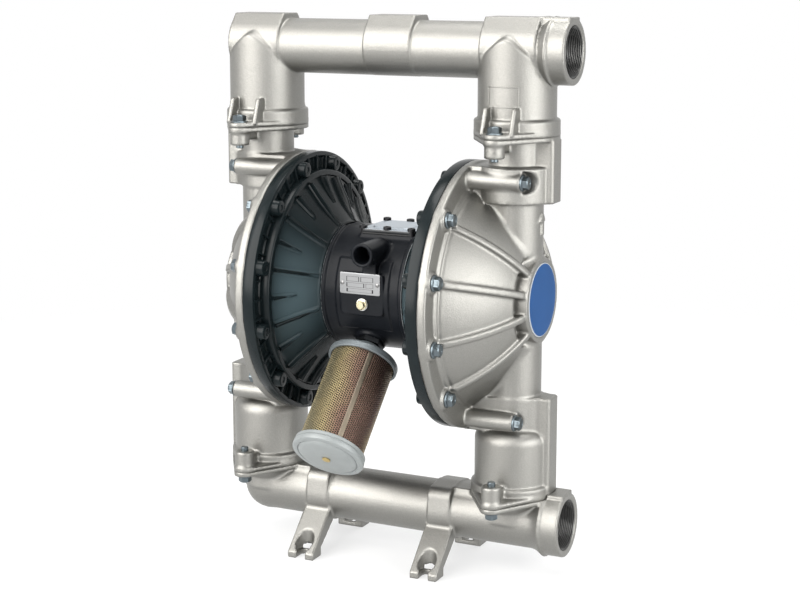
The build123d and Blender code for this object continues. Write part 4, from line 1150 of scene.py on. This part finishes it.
def a_number(name, text, default, **kind):
    """Number that a user can change, with its unit or subtype."""
    return FloatProperty(name=name, description=text, default=default, **kind)


class PumpLook(bpy.types.PropertyGroup):
    """Sizes, colours and light that a user would change."""

    casting_colour: a_colour("Casting", "Tone of the stainless castings", (0.30, 0.296, 0.278))
    enamel_colour: a_colour("Enamel", "Tone of the black housing", (0.006, 0.007, 0.009))
    cover_colour: a_colour("Covers", "Tone of the black covers", (0.005, 0.008, 0.009))
    bolt_colour: a_colour("Bolts", "Tone of the bolts", (0.13, 0.155, 0.17))
    badge_colour: a_colour("Badge", "Tone of the round labels", (0.012, 0.055, 0.165))
    top_cap_colour: a_colour("Upper cap", "Tone of the muffler's upper cap", (0.15, 0.17, 0.18))
    bottom_cap_colour: a_colour("Lower cap", "Tone of the muffler's lower cap", (0.20, 0.215, 0.215))
    casting_grain: a_number("Grain", "Depth of the blasted grain", 0.0005, unit="LENGTH")
    casting_step: a_number("Casting step", "Cell size of the castings' surfaces in millimetres", 2.15, min=1.5)
    detail_step: a_number("Detail step", "Cell size of the air section's surfaces in millimetres", 1.7, min=1.0)
    coarse_step: a_number("Coarse step", "Cell size while trying things, in millimetres", 3.5, min=2.0)
    seam_turn: a_number("Seam", "Angle of the muffler's seam", 0.85, subtype="ANGLE")
    key_power: a_number("Key", "Power of the front lamp", 235.0, unit="POWER")
    fill_power: a_number("Fill", "Power of the side lamp", 108.0, unit="POWER")
    top_power: a_number("Top", "Power of the lamp above", 40.0, unit="POWER")
    surround_left: a_number("Surround left", "Strength of the surround on the left", 0.85)
    surround_right: a_number("Surround right", "Strength of the surround on the right", 0.45)


class BuildStep:
    """What the operators share: each runs its own build function, whose error stops it."""

    def execute(self, context):
        self.build(context.scene.pump_look)
        return {"FINISHED"}


class PUMP_OT_castings(BuildStep, bpy.types.Operator):
    """Builds the fluid covers and both manifolds"""

    bl_idname, bl_label = "pump.castings", "Castings"
    build = staticmethod(castings)


class PUMP_OT_fasteners(BuildStep, bpy.types.Operator):
    """Builds the bolts and screws"""

    bl_idname, bl_label = "pump.fasteners", "Fasteners"
    build = staticmethod(fasteners)


class PUMP_OT_air_section(BuildStep, bpy.types.Operator):
    """Builds the black covers, the housing and what it carries"""

    bl_idname, bl_label = "pump.air_section", "Air section"
    build = staticmethod(air_section)


class PUMP_OT_muffler(BuildStep, bpy.types.Operator):
    """Builds the exhaust muffler"""

    bl_idname, bl_label = "pump.muffler", "Muffler"
    build = staticmethod(muffler)


class PUMP_OT_small_pieces(BuildStep, bpy.types.Operator):
    """Builds the round labels and the port threads"""

    bl_idname, bl_label = "pump.small_pieces", "Badges and threads"
    build = staticmethod(small_pieces)


class PUMP_OT_inner_finishes(BuildStep, bpy.types.Operator):
    """Gives the inner solids their finishes"""

    bl_idname, bl_label = "pump.inner_finishes", "Inner finishes"
    build = staticmethod(inner_finishes)


class PUMP_OT_stage(BuildStep, bpy.types.Operator):
    """Builds the floor, the surround, the lamps and the camera"""

    bl_idname, bl_label = "pump.stage", "Stage"
    build = staticmethod(stage)


operators = (
    PUMP_OT_castings, PUMP_OT_fasteners, PUMP_OT_air_section, PUMP_OT_muffler, PUMP_OT_small_pieces,
    PUMP_OT_inner_finishes, PUMP_OT_stage,
)


class PUMP_PT_panel(bpy.types.Panel):
    """Lists the pump's steps and values"""

    bl_label = "Pump"
    bl_space_type = "VIEW_3D"
    bl_region_type = "UI"
    bl_category = "Pump"

    def draw(self, context):
        for item in operators:
            self.layout.operator(item.bl_idname)
        for key in PumpLook.__annotations__:
            self.layout.prop(context.scene.pump_look, key)


classes = (PumpLook, *operators, PUMP_PT_panel)


def register():
    for item in classes:
        bpy.utils.register_class(item)
    bpy.types.Scene.pump_look = PointerProperty(type=PumpLook)


def unregister():
    del bpy.types.Scene.pump_look
    for item in reversed(classes):
        bpy.utils.unregister_class(item)


def main():
    register()
    for item in operators:
        getattr(bpy.ops.pump, item.bl_idname.split(".")[1])()


if __name__ == "__main__":
    main()
